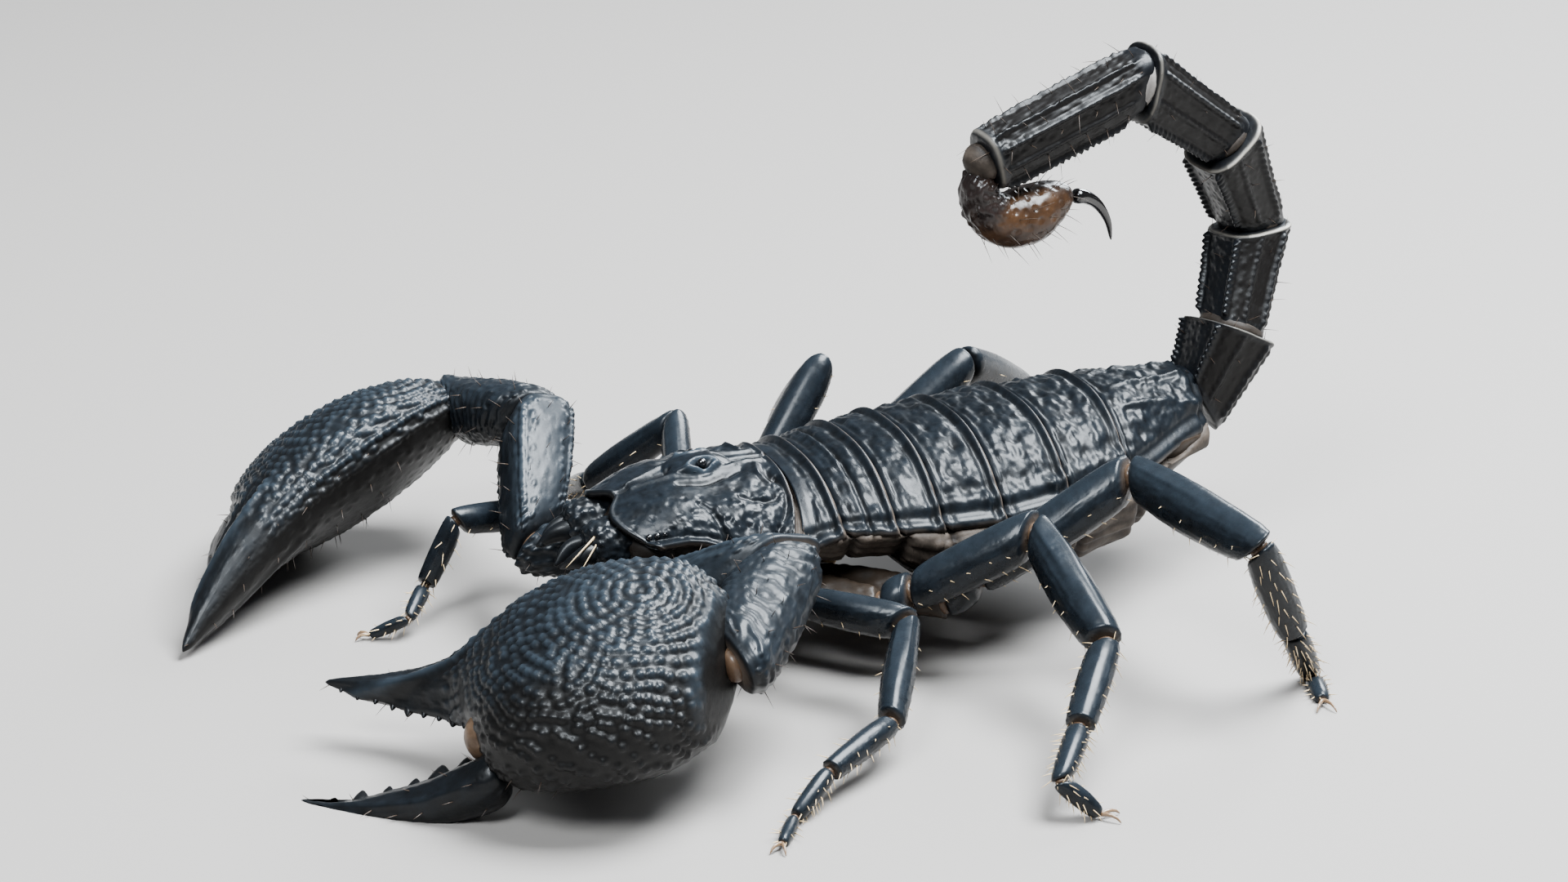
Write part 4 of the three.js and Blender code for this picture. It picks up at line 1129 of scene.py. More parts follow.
def coat_of_bristles(name, coat, material, slot, bend=0.12):
    """All bristles of a coat as one mesh, each with its own small patch of the unwrap."""
    points, faces = bristle_template()
    columns = math.ceil(math.sqrt(len(LIMBS)))
    vertices, polygons, patches = [], [], []
    for root, way, length, radius, tile, place in BRISTLES[coat]:
        side = unit(np.cross(way, (0.31, 0.77, 0.55)))
        other = np.cross(way, side)
        z = points[:, 2]
        curl = np.outer(bend * length * z * z, side * 0.6 - np.array((0, 0, 0.8)))
        shaft = root + np.outer(z * length, way) + curl
        start = len(vertices)
        vertices.extend(shaft + radius * (np.outer(points[:, 0], side) + np.outer(points[:, 1], other)))
        row, column = divmod(tile, columns)
        corner = ((column + place[0] * 0.96) / columns, (row + place[1] * 0.96) / columns)
        for face in faces:
            polygons.append([start + i for i in face])
            patches.extend((corner[0] + PATCH * (points[i][0] + 1) / 2 * 0.9,
                            corner[1] + PATCH * min(points[i][2], 1) * 0.9) for i in face)
    mesh = bpy.data.meshes.new(name)
    mesh.from_pydata([tuple(v) for v in vertices], [], polygons)
    unwrap = mesh.uv_layers.new(name="OFBake")
    unwrap.data.foreach_set("uv", np.array(patches, np.float32).ravel())
    piece = bpy.data.objects.new(name.replace(" ", "_"), mesh)
    bpy.context.scene.collection.objects.link(piece)
    settle(Clay(piece).keep_over_floor(), material, slot)


# Long bristles of the mouth: root and tip of each
MOUTH_BRISTLES = (
    ((4.6, -27.4, 17.2), (6.5, -31.3, 15.1)),
    ((4.5, -26.6, 17.1), (6.9, -29.9, 14.4)),
)


def mouth_bristles():
    """Long pale bristles beside the left jaw."""
    LIMBS.append("jaws")
    for n, (root, tip) in enumerate(MOUTH_BRISTLES):
        start, end = np.array(root), np.array(tip)
        length = np.linalg.norm(end - start)
        place = (0.2 + 0.2 * n, 0.7)
        BRISTLES["body"].append((start, unit(end - start), length, 0.08, len(LIMBS) - 1, place))


# ---------------------------------------------------------------- legs
# Links of a leg: fraction of length, half width, half height, as shares of the leg's girth
TROCHANTER = (
    (0, 0.6, 0.62), (0.03, 0.78, 0.84), (0.1, 0.86, 0.94), (0.16, 0.78, 0.84), (0.195, 0.6, 0.62),
)
FEMUR = (
    (0.2, 0.62, 0.66), (0.25, 0.72, 0.82), (0.36, 0.82, 0.95), (0.72, 0.9, 1.02), (0.9, 0.88, 1.0),
    (0.96, 0.8, 0.9), (1, 0.62, 0.7),
)
PATELLA = (
    (0, 0.6, 0.66), (0.05, 0.76, 0.86), (0.14, 0.76, 0.88), (0.45, 0.92, 1.04), (0.85, 0.84, 0.92),
    (0.95, 0.78, 0.84), (1, 0.6, 0.64),
)
TIBIA = (
    (0, 0.5, 0.54), (0.05, 0.62, 0.68), (0.35, 0.69, 0.78), (0.9, 0.6, 0.68), (0.96, 0.58, 0.64),
    (1, 0.42, 0.46),
)
FOOT_1 = ((0, 0.38, 0.42), (0.06, 0.47, 0.52), (0.3, 0.51, 0.57), (0.9, 0.44, 0.48), (1, 0.3, 0.34))
FOOT_2 = ((0, 0.28, 0.3), (0.08, 0.36, 0.4), (0.5, 0.39, 0.43), (0.94, 0.3, 0.33), (1, 0.18, 0.2))
# What a leg is made of: kind and form of each part, and the link of the pose that it lies on
LEG_PARTS = (
    ("trochanter", TROCHANTER, 0), ("femur", FEMUR, 0), ("patella", PATELLA, 1),
    ("tibia", TIBIA, 2), ("foot", FOOT_1, 3), ("foot", FOOT_2, 4),
)
UPPER_PARTS = 3  # how many of them belong to the upper node
SHARPNESS = {"left": (2, 3, 3, 3), "right": (2, 2, 2, 2)}  # subdivision of each leg
# Bristles of each kind of link, and where on it they grow: beyond which share of its length (all of it
# where that is negative) and which angle from its top; then their spacing, length and radius
LEG_HAIR = {
    "femur": (0.25, 1.5, 1.9, 1.0, 0.035),
    "patella": (0.25, 1.5, 1.9, 1.0, 0.035),
    "tibia": (-0.1, 0.9, 1.25, 1.4, 0.04),
    "foot": (-0.1, 0.8, 0.72, 1.25, 0.042),
}


def heading(yaw, pitch, sign):
    y, p = math.radians(yaw), math.radians(pitch)
    return np.array([sign * math.cos(y) * math.cos(p), math.sin(y) * math.cos(p), math.sin(p)])


def leg_joints(pose, lengths, sign):
    """Hip, knees and toe, the last link dropping to the toe's height."""
    hip, turns, toe_yaw = pose
    joints = [np.array(hip, float)]
    for (yaw, pitch), length in zip(turns, lengths):
        joints.append(joints[-1] + heading(yaw, pitch, sign) * length)
    drop = math.degrees(math.asin((TOE_HEIGHT - joints[-1][2]) / lengths[-1]))
    joints.append(joints[-1] + heading(toe_yaw, drop, sign) * lengths[-1])
    return joints


def leg_relief(clay, kind, rows, girth, turn, t):
    """The sculpture of a link of a leg: turn is the angle from its top, t the share of its length."""
    relief = 0.025 * clay.rough(1.8)
    if kind == "patella":
        twin = hill(turn, 0.42, 0.13) + hill(turn, -0.42, 0.13)
        relief += 0.12 * twin * hill(t, 0.28, 0.25) - 0.12 * hill(turn, 0, 0.2) * hill(t, 0.3, 0.25)
    if kind == "femur":
        relief += 0.07 * hill(turn, 0.75, 0.1) * ease(t, 0.3, 0.5)
    if kind in ("femur", "patella", "tibia"):
        relief += clay.grains(clay.scatter(0.62, np.abs(turn) > 0.8, 9), 0.22, 0.05)
    if kind != "foot":
        relief += 0.08 * girth / 2.5 * hill(t, rows[-1][0] - 0.035, 0.012)
    return relief


def leg_link(name, kind, rows, girth, length, frame_axes, start, before, after, levels):
    """One link of a leg, modelled upright along z and laid on its place."""
    axis, side, up = frame_axes
    stations = [(t * length, w * girth, h * girth, 0, 0) for t, w, h in rows]
    clay = draw_out(name, stations, 12, levels)
    above = math.atan2(up[2], side[2])
    flatness = 0.04 * (kind in ("femur", "patella"))

    def section(angle):
        turn = angle - above
        keel = 0.05 * hill(np.abs(np.sin(turn / 2)), 0, 0.16)
        return 1 + keel + flatness * np.cos(2 * turn)

    press(clay, stations, section)
    t = clay.at[:, 2] / length
    turn = np.arctan2(clay.at[:, 1], clay.at[:, 0]) - above
    turn = (turn + np.pi) % (2 * np.pi) - np.pi
    clay.push(leg_relief(clay, kind, rows, girth, turn, t))
    # painted shade on the underside and at the link's root
    clay.paint("hollow", 0.55 * ease(np.abs(turn), 1.9, 2.7) + 0.5 * hill(t, rows[0][0], 0.03))
    clay.paint("rim", 0.3 * hill(t, rows[-1][0], 0.012))
    lay(clay, start, side, up, axis, length, before, after)
    # painted sheen: the tops are lighter
    clay.paint("worn", 0.22 * ease(clay.out[:, 2], 0.1, 0.9))
    return clay, np.abs(turn), t


def leg(side, k, sign):
    """A whole leg: six parts, knee skins, two curved claws, and plans for its bristles."""
    pose, lengths, girth = LEG_POSE[side][k], LEG_LINKS[k], LEG_GIRTH[k]
    joints = leg_joints(pose, lengths, sign)
    frames = link_frames(joints, (0, 1, 0))
    root = np.array((sign * 2.4, -15.5 + 3.2 * k, 8.2))
    axes = [unit(joints[0] - root)] + [axis for axis, _, _ in frames] + [None]
    label = f"leg_{side}_{k + 1}"
    made = []
    for kind, rows, i in LEG_PARTS:
        start = joints[i] + frames[i][0] * GAP / 2
        levels = max(SHARPNESS[side][k] - (kind == "foot"), 2)
        clay, from_top, t = leg_link(f"{label} {kind}", kind, rows, girth, lengths[i] - GAP, frames[i],
                                     start, axes[i], axes[i + 2], levels)
        made.append(clay.piece)
        if kind in LEG_HAIR:
            share, angle, spacing, length, radius = LEG_HAIR[kind]
            where = (t > share) & (from_top > angle)
            grow_bristles("leg", clay, f"{label} {kind} {i}", where, spacing, length, radius,
                          frames[i][0] * 0.8, 3 + k)
    upper, lower = made[:UPPER_PARTS], made[UPPER_PARTS:]
    settle(Clay(joined(upper, f"{label} upper")), leg_shell, "leg_cuticle", f"{label}_upper")
    claws = foot_claws(joints[-1], girth, joints[-1] - joints[-2])
    lower = Clay(joined(lower, f"{label} lower")).keep_over_floor()
    settle(lower, leg_shell, "leg_cuticle", f"{label}_lower")
    skins = [knee_skin(joints[0], axes[0], axes[1], girth * 0.62)]
    skins.append(knee_skin(joints[0] + axes[1] * 0.197 * lengths[0], axes[1], axes[1], girth * 0.55))
    for i, size in enumerate((0.5, 0.4, 0.31, 0.24), 1):
        skins.append(knee_skin(joints[i], axes[i], axes[i + 1], girth * size))
    return claws, skins


def foot_claws(foot, girth, way):
    """Two curved claws at the end of a foot, with their points on the floor."""
    flat = unit((way[0], way[1], 0))
    aside = np.array((-flat[1], flat[0], 0))
    claws = []
    for turn in (-1, 1):
        out = unit(flat + 0.5 * turn * aside)
        reach = girth / 2
        path = curve_through([foot - out * 0.35 * reach,
                              foot + out * 0.7 * reach + np.array((0, 0, 0.32)),
                              foot + out * 1.4 * reach + np.array((0, 0, 0.12)),
                              foot + out * 1.8 * reach - np.array((0, 0, TOE_HEIGHT - 0.1))], 4)
        length = np.linalg.norm(np.diff(path, axis=0), axis=1).sum()
        form = straight((0, 0.2, 0.24), (0.4 * length, 0.2, 0.25), (0.8 * length, 0.12, 0.15),
                        (length, 0.05, 0.05))
        claw = follow(draw_out("foot claw", form, 8, 1), path, np.cross(out, (0, 0, 1)))
        claws.append(claw.keep_over_floor().piece)
    return claws


def knee_skin(joint, before, after, radius, reach=0.55):
    """A soft creased ball in a joint, between the ends of two links."""
    ball = lump("knee skin", (0, 0, 0), (radius, radius, radius * reach), 20)
    creases = np.sin(ball.at[:, 2] / radius * 18)
    ball.push(0.02 * radius * creases)
    ball.paint("hollow", 0.5 + 0.5 * creases)
    across = unit(before + after)
    side = unit(np.cross(across, (0.2, 0.5, 0.84)))
    return lay(ball, joint, side, np.cross(side, across), across).piece


def legs():
    claws, skins = [], []
    for side, sign in (("left", 1), ("right", -1)):
        for k in range(4):
            more_claws, more_skins = leg(side, k, sign)
            claws.extend(more_claws)
            skins.extend(more_skins)
    settle(Clay(joined(claws, "foot claws")), claw_horn, "leg_cuticle")
    settle(Clay(joined(skins, "knee skins")).keep_over_floor(), joint_skin, "soft_skin")


# ---------------------------------------------------------------- claw arms
# Links of a claw arm: kind, its form by fraction of length, half width and half height, and the power of
# the rounded square that it is pressed to
ARM_LINKS = (
    ("trochanter", ((0, 1.9, 1.9), (0.08, 2.5, 2.6), (0.35, 3.15, 3.35), (0.75, 3.25, 3.45),
                    (0.93, 2.9, 3.0), (1, 2.0, 2.0)), 2.2),
    ("femur", ((0, 1.9, 1.9), (0.06, 2.7, 2.6), (0.16, 3.45, 3.2), (0.5, 3.9, 3.6),
               (0.84, 4.2, 3.9), (0.95, 3.7, 3.5), (1, 2.4, 2.3)), 3.2),
    ("patella", ((0, 2.3, 2.3), (0.06, 3.5, 3.3), (0.18, 4.6, 3.8), (0.5, 5.0, 4.1),
                 (0.82, 4.75, 3.95), (0.94, 4.0, 3.7), (1, 2.5, 2.4)), 2.2),
)
ARM_SHEEN = (0.3, 0.6, 0.2)  # how much painted sheen lightens the top of each link
ARM_SKIN = (1.9, 2.1, 1.9)  # radius of the skin in the joint beyond each link
EDGE_POWER = 2.9  # power of the rounded square that rows of beads are set on
CORNERS = (0.25, 0.75, 1.25, 1.75)  # corners of a section, in half turns


def edge_spots(stations, angle, spacing, low, high):
    """Points along a drawn-out piece at one angle round its section."""
    z = np.arange(low, high, spacing)
    width, height, cx, cy = form_along(stations, z)
    reach = boxy(np.array([angle]), EDGE_POWER)[0]
    return np.stack([cx + width * reach * math.cos(angle), cy + height * reach * math.sin(angle), z], 1)


def arm_relief(clay, k, stations, t, length, middle):
    """The sculpture of a link of a claw arm: granular edges, finer faces, and bosses near the wrist."""
    angle = np.arctan2(clay.at[:, 1], clay.at[:, 0])
    relief = 0.1 * clay.rough(2.6, (1, 1, 1), 3.0 * k)
    if k == 0:
        relief += clay.grains(clay.scatter(0.95, middle > 0.2, 2), 0.5, 0.3)
    else:
        edges = [edge_spots(stations, corner * math.pi, 0.92, 0.1 * length, 0.92 * length)
                 for corner in CORNERS]
        near_edge = hill(np.abs((angle % (np.pi / 2)) - np.pi / 4), 0, 0.28)
        on_edges = clay.scatter(1.05, near_edge * middle > 0.25, 4 + k)
        on_faces = clay.scatter(1.5, (near_edge < 0.25) & (middle > 0.5), 14 + k)
        relief += clay.grains(np.concatenate(edges), 0.56, 0.28) * middle
        relief += clay.grains(on_edges, 0.42, 0.12)
        relief += clay.grains(on_faces, 0.5, 0.04)
    if k == 2:
        folds = np.sin(clay.at[:, 2] * 2 * math.pi / 1.4 + 4.2 * clay.rough(2.2, (1, 1, 1), 31.0, 2))
        relief += 0.11 * folds * middle * (1 - 0.7 * near_edge)
        relief += 0.5 * hill(t, 0.86, 0.07) * np.maximum(hill(angle, -0.9, 0.5), hill(angle, 2.2, 0.5))
    return relief + 0.25 * hill(t, 0.975, 0.02)


def arm_link(side, k, start, frame_axes, length, before, after):
    """A link of a claw arm: flat faces, granular edges and a few bosses."""
    kind, rows, power = ARM_LINKS[k]
    axis, across, up = frame_axes
    stations = [(t * length, w, h, 0, 0) for t, w, h in rows]
    clay = draw_out(f"arm {kind} {side}", stations, 16, 3 if k == 0 else 4)
    press(clay, stations, lambda angle: boxy(angle, power) * (0.97 if k else 1))
    t = clay.at[:, 2] / length
    middle = ease(t, 0.03, 0.12) * (1 - ease(t, 0.88, 0.97))
    relief = arm_relief(clay, k, stations, t, length, middle)
    clay.push(relief)
    # painted shade in low places and toward the joints
    clay.paint("hollow", 0.25 - relief * 1.2 + 0.28 * (1 - middle))
    clay.paint("rim", 0.5 * hill(t, 0.995, 0.012))
    lay(clay, start, across, up, axis, length, before, after)
    # painted sheen: the tops are lighter
    clay.paint("worn", ARM_SHEEN[k] * ease(clay.out[:, 2], 0.2, 0.9))
    return clay, t


def claw_axes(arm):
    """Wrist, axis, the way the claw opens, the way its upper face looks, and the hand's length."""
    wrist, tip = np.array(arm["joints"][-1]), np.array(arm["tip"], float)
    length = np.linalg.norm(tip - wrist)
    axis = unit(tip - wrist)
    gape = np.array(arm["gape"])
    gape = unit(gape - axis * (gape @ axis))
    face = np.cross(axis, gape)
    if face[2] < 0:
        face = -face
    return wrist, axis, gape, face, length


def claw_stations(rows, length):
    """Stations of a hand or finger, from its table."""
    return [(t * length, (outer - inner) / 2, thick, (inner + outer) / 2, arch)
            for t, inner, outer, thick, arch in rows]


WHORL = np.array((-2.6, 9.3, 7.4))  # middle of the rings of grains, on the palm: gape, face, axis
RING = 1.12  # distance between the rings
PALM_END = 0.66  # where the palm's beads end, as a share of the hand's length
# Rows of bold grains along the palm's inner edge: angle in half turns, height
SERRATION = ((0.84, 0.3), (0.92, 0.42), (1.0, 0.6), (1.08, 0.42))


def narrow_edge(clay, stations, sign, amount):
    """Thin a finger toward its biting edge: outward of the middle for sign 1, inward for -1."""
    x, y, z = clay.at.T
    half, _, centre_x, centre_y = form_along(stations, z)
    edge = ease((x - centre_x) / (sign * half), 0.0, 1.0)
    clay.move_to(np.stack([x, centre_y + (y - centre_y) * (1 - amount * edge), z], 1))


def palm_grains(clay, length):
    """Rings of beads round the whorl, wandering into wavy rows toward the fingers."""
    t = clay.at[:, 2] / length
    top = clay.out[:, 1]
    far = np.linalg.norm((clay.at - WHORL) * np.array((1, 0.8, 0.95)), axis=1)
    wander = clay.rough(5.0, (1, 1, 1), 4.0, 1) * 1.6 * ease(far, 4, 14)
    ring = (far + wander) / RING
    on_ring = np.abs(ring - np.round(ring)) < 0.11
    palm = t < PALM_END
    beads = clay.scatter(0.9, on_ring & palm & (top > -0.25), 6)
    bead_t = beads[:, 2] / length
    fade = 1 - 0.4 * ease(bead_t, 0.3, 0.62)
    relief = clay.grains(beads, 0.6, 0.42 * fade)
    ridges = 0.1 * (1 + np.cos(2 * math.pi * ring)) * (1 - ease(far, 6, 13)) * ease(top, -0.1, 0.3)
    relief = np.maximum(relief, ridges)
    under = clay.scatter(1.35, (top <= -0.25) & palm, 8)
    relief = np.maximum(relief, clay.grains(under, 0.5, 0.13))
    fine = clay.scatter(0.8, ~palm, 9)
    return np.maximum(relief, clay.grains(fine, 0.3, 0.05))


def biting_edge(form, column, inset, low, high, length):
    """Points along an edge of a finger; column 1 of its table is the inner edge and 2 the outer."""
    table = np.array(form)
    t = np.linspace(low, high, 20)
    edge, arch = (np.interp(t, table[:, 0], table[:, k]) for k in (column, 4))
    return np.stack([edge + inset, arch, t * length], 1)


def teeth_along(path, count, last, height, out):
    """Blunt cones along a biting edge, up to the share called last, pointing outward or inward."""
    made = []
    for k in range(count):
        place = last * k / (count - 1)
        root = np.array([np.interp(place, np.linspace(0, 1, len(path)), path[:, i]) for i in range(3)])
        size = height * (1.15 if k % 3 == 1 else 0.8) * (1 - 0.45 * place)
        form = straight((-0.9, size * 0.95, size * 0.8), (0.1, size * 0.7, size * 0.6),
                        (0.65 * size, size * 0.36, size * 0.32), (size, 0.12, 0.12))
        tooth = draw_out("finger tooth", form, 8, 2)
        tooth.paint("hollow", np.full(len(tooth.at), 0.7))
        lay(tooth, root, (0, 0, 1), (0, -1, 0), (1, 0, 0))
        if out < 0:
            tooth.move_to(tooth.at * np.array((-1, 1, 1)) + np.array((2 * root[0], 0, 0)))
            tooth.piece.data.flip_normals()
        made.append(tooth)
    return made


def with_teeth(clay, teeth, name, node):
    """Join a claw part with its teeth, keep it over the floor and settle it."""
    whole = Clay(joined([clay.piece] + [tooth.piece for tooth in teeth], name))
    settle(whole.keep_over_floor(), claw_shell, "claw_cuticle", node)


def hand_relief(clay, form, cap, t, length):
    """The sculpture of the palm and the fixed finger."""
    inner = np.interp(t, [row[0] for row in form], [row[1] for row in form])
    from_inner = clay.at[:, 0] - inner
    relief = 0.12 * clay.rough(3.0) + 0.03 * clay.rough(0.9)
    relief += palm_grains(clay, length) * ease(t, 0.01, 0.05)
    for turn, bold in SERRATION:
        first = (0.05 + 0.012 * (bold < 0.5)) * length
        row = edge_spots(cap, turn * math.pi, 1.06, first, PALM_END * length)
        height = bold * (1 - 0.6 * ease(row[:, 2] / length, 0.35, PALM_END))
        relief = np.maximum(relief, clay.grains(row, 0.62, height))
    ridge = ease(t, 0.5, 0.62) * (1 - ease(t, 0.9, 0.99))
    relief += 0.3 * ridge * hill(from_inner, 2.2, 0.5) - 0.2 * ridge * hill(from_inner, 3.4, 0.6)
    return relief + 0.35 * hill(t, 0.03, 0.012)


def hand(side, arm):
    """The palm with its fixed finger: beads in rings, a serrated inner edge, teeth on the finger."""
    wrist, axis, gape, face, length = claw_axes(arm)
    form = arm["hand"]
    stations = claw_stations(form, length)
    cap = [(GAP / 2, 2.6, 2.4, 0, 0)]
    cap += [(max(z, GAP / 2 + 0.25), w, h, x, y) for z, w, h, x, y in stations]
    clay = draw_out(f"hand {side}", cap, 16, 4)
    press(clay, cap, lambda angle: boxy(angle, 2.25))
    t = clay.at[:, 2] / length
    narrow_edge(clay, stations, 1, 0.62 * ease(t, 0.56, 0.66))
    top = clay.out[:, 1]
    relief = hand_relief(clay, form, cap, t, length)
    clay.push(relief)
    # painted shade on the underside and the gape side, in low places and at the wrist
    below = np.maximum(ease(-top, -0.3, 0.4), ease(clay.at[:, 0], 6, 13))
    clay.paint("hollow", 0.55 - 1.4 * relief + 0.75 * below + 0.5 * (1 - ease(t, 0.03, 0.1)))
    # painted highlight on the bead tops, outside the painted shade
    clay.paint("worn", 1.6 * relief * (1 - below))
    teeth = teeth_along(biting_edge(form, 2, -0.2, 0.6, 0.95, length), 9, 1.0, 1.0, 1)
    for part in [clay] + teeth:
        lay(part, wrist, gape, face, axis)
    grow_bristles("arm", clay, f"hand {side}", (t > 0.3) & (top < 0.1), 3.0, 1.5, 0.032, axis * 0.6, 21)
    with_teeth(clay, teeth, f"hand {side}", f"pedipalp_{side}_hand")


def movable_finger(side, arm):
    """The finger that bites against the hand's own: smooth, ridged, with uneven teeth."""
    wrist, axis, gape, face, length = claw_axes(arm)
    swing = math.radians(arm["swing"])
    hinge = wrist + axis * length * FINGER_ROOT[0] + gape * FINGER_ROOT[1]
    along = axis * math.cos(swing) + gape * math.sin(swing)
    out = gape * math.cos(swing) - axis * math.sin(swing)
    form, long = arm["finger"], arm["finger_length"]
    stations = claw_stations(form, long)
    clay = draw_out(f"movable finger {side}", stations, 16, 3)
    press(clay, stations, lambda angle: boxy(angle, 2.4))
    narrow_edge(clay, stations, -1, 0.5 * ease(clay.at[:, 2], 0.8, 3.0))
    t = clay.at[:, 2] / long
    outer = np.interp(t, [row[0] for row in form], [row[2] for row in form])
    ridge = hill(outer - clay.at[:, 0], 1.2, 0.4)
    relief = 0.07 * clay.rough(2.2) + clay.grains(clay.scatter(0.9, t < 0.75, 5), 0.42, 0.06)
    relief += 0.25 * ridge * ease(t, 0.1, 0.25) * (1 - ease(t, 0.85, 0.97))
    clay.push(relief)
    # painted shade in low places, on a darker ground
    clay.paint("hollow", 0.45 - relief)
    teeth = teeth_along(biting_edge(form, 1, 0.2, 0.24, 0.93, long), 6, 0.9, 1.75, -1)
    for part in [clay] + teeth:
        lay(part, hinge, out, face, along)
    grow_bristles("arm", clay, f"finger {side}", t > 0.1, 2.6, 1.4, 0.032, along * 0.6, 22)
    with_teeth(clay, teeth, f"movable finger {side}", f"pedipalp_{side}_movable_finger")
    skin = lump("finger skin", arm["skin"], (2.4, 2.8, 2.0), 24)
    return lay(skin, wrist, gape, face, axis).piece


def arms():
    skins = []
    for side in ("left", "right"):
        arm = ARM[side]
        joints = np.array(arm["joints"], float)
        frames = link_frames(joints, (1, 0, 0))
        claw_axis = claw_axes(arm)[1]
        axes = [None] + [axis for axis, _, _ in frames] + [claw_axis]
        for k in range(3):
            length = np.linalg.norm(joints[k + 1] - joints[k]) - GAP
            start = joints[k] + frames[k][0] * GAP / 2
            clay, t = arm_link(side, k, start, frames[k], length, axes[k], axes[k + 2])
            label = ARM_LINKS[k][0]
            grow_bristles("arm", clay, f"{label} {side}", (t > 0.1) & (t < 0.9), 2.6, 1.6, 0.032,
                          frames[k][0] * 0.3, 17 + k)
            settle(clay, claw_shell, "claw_cuticle", f"pedipalp_{side}_{label}")
            skins.append(knee_skin(joints[k + 1], axes[k + 1], axes[k + 2], ARM_SKIN[k], 0.6))
        hand(side, arm)
        skins.append(movable_finger(side, arm))
    settle(Clay(joined(skins, "arm joint skins")), joint_skin, "soft_skin")


# ---------------------------------------------------------------- tail
# Keels of each half of a segment, from the top round to the underside: place in half turns, strength
KEELS = ((0.21, 1.0), (0.43, 0.3), (0.66, 0.6), (0.83, 0.5))
NECK = 0.9  # how far a segment's front end runs into the segment before it
# Form of every segment: fraction of length, share of its width and of its height
SEGMENT = (
    (0, 0.74), (0.05, 0.84), (0.16, 0.91), (0.5, 0.92), (0.84, 1.02), (0.95, 1.05), (0.985, 1.0),
    (1, 0.92),
)


def tail_joints():
    """The joints of the tail, from its root to the telson."""
    joints = [np.array(TAIL_ROOT, float)]
    for length, pitch, lean, _, _ in TAIL:
        p, x = math.radians(pitch), math.radians(lean)
        step = np.array((math.sin(x), math.cos(x) * math.cos(p), math.cos(x) * math.sin(p)))
        joints.append(joints[-1] + step * length)
    return joints


def tail_relief(clay, k, stations, length, t, from_top, middle, keel):
    """The sculpture of a tail segment: beaded keels, sunken faces and swollen ends."""
    relief = (0.26 * keel - 0.22 * (1 - np.clip(keel * 1.5, 0, 1))) * middle
    beads = np.zeros(len(clay.at))
    for place, strength in KEELS:
        for sign in (-1, 1):
            angle = math.pi / 2 + sign * place * math.pi
            row = edge_spots(stations, angle, 0.92, 0.16 * length, 0.95 * length)
            beads = np.maximum(beads, clay.grains(row, 0.56, 0.5 * strength))
    relief = relief + beads * middle
    on_faces = clay.scatter(1.0, middle > 0.3, 50 + k)
    relief = relief + clay.grains(on_faces, 0.36, 0.06) + 0.08 * clay.rough(1.6, (1, 1, 1), k)
    if k == 4:
        pits = clay.scatter(1.1, (from_top > 0.55) & (middle > 0.3), 71)
        relief = relief + clay.grains(pits, 0.5, -0.14)
    return relief + (0.1 if k == 3 else 0.2) * hill(t, 0.965, 0.018) + 0.12 * hill(t, 0.045, 0.02)


def tail_segment(k, joints, frames):
    """A segment of the tail: sunken faces between serrated keels, painted shade on its sides, and a pale
    rear rim.
    """
    full_length = TAIL[k][0]
    half_width, half_height = (SLIM[k] * half for half in TAIL[k][3:])
    axis, side, up = frames[k]
    length = full_length - GAP + NECK
    taper = 0.8 if k == 4 else 1
    stations = []
    for t, share in SEGMENT:
        narrow = (1 + (taper - 1) * t * t) * (1 - 0.16 * (k == 0) * (1 - t) ** 2)
        stations.append((t * length, share * half_width * narrow, share * half_height * narrow, 0, 0))
    clay = draw_out(f"tail segment {k + 1}", stations, 16, 4)
    press(clay, stations, lambda angle: boxy(angle, 3.0) * 0.95)
    t = clay.at[:, 2] / length
    angle = np.arctan2(clay.at[:, 1] / half_height, clay.at[:, 0] / half_width)
    from_top = np.abs((angle - np.pi / 2 + np.pi) % (2 * np.pi) - np.pi) / np.pi
    middle = ease(t, 0.06, 0.18) * (1 - ease(t, 0.9, 0.97))
    keel = sum(strength * hill(from_top, place, 0.028) for place, strength in KEELS)
    clay.push(tail_relief(clay, k, stations, length, t, from_top, middle, keel))
    # painted shade on the side faces between the keels, and a little all over
    clay.paint("hollow", (0.85 - keel) * middle * ease(from_top, 0.2, 0.26) + 0.2)
    paleness = 0.9 if k in (1, 2) else 0.35
    clay.paint("rim", paleness * hill(t, 0.974, 0.009) * (0.4 + 0.6 * (from_top > 0.3)))
    before = frames[k - 1][0] if k else np.array((0.0, 1.0, 0.0))
    after = frames[k + 1][0] if k < 4 else None
    lay(clay, joints[k] + axis * (GAP / 2 - NECK), side, up, axis, length, before, after)
    lean = axis * 0.35
    if k == 4:
        grow_bristles("tail", clay, "tail 5", (t > 0.1) & (from_top > 0.1), 2.1, 2.4, 0.03, lean, 61)
    else:
        grow_bristles("tail", clay, f"tail {k + 1}", t > 0.1, 3.4, 1.8, 0.028, lean, 61 + k)
    settle(clay, tail_shell, "tail_cuticle", f"metasoma_{k + 1}")


CURVE_STEPS = 8  # points of a telson's path for each row of its table
HANGING = unit((0, -0.3, -1))  # the way the telson hangs from the tail's last joint


def telson_part(name, rows, root, sides, levels):
    """A part of the telson, still upright, with the path that it is to be bent along."""
    places = [root + np.array((TELSON_LEAN * back, back, up)) for back, up, _, _ in rows]
    path = curve_through(places, CURVE_STEPS)
    reach = distances_along(path)[::CURVE_STEPS]
    stations = [(z, width, height, 0, 0) for z, (_, _, width, height) in zip(reach, rows)]
    return draw_out(name, stations, sides, levels), path, reach[-1]


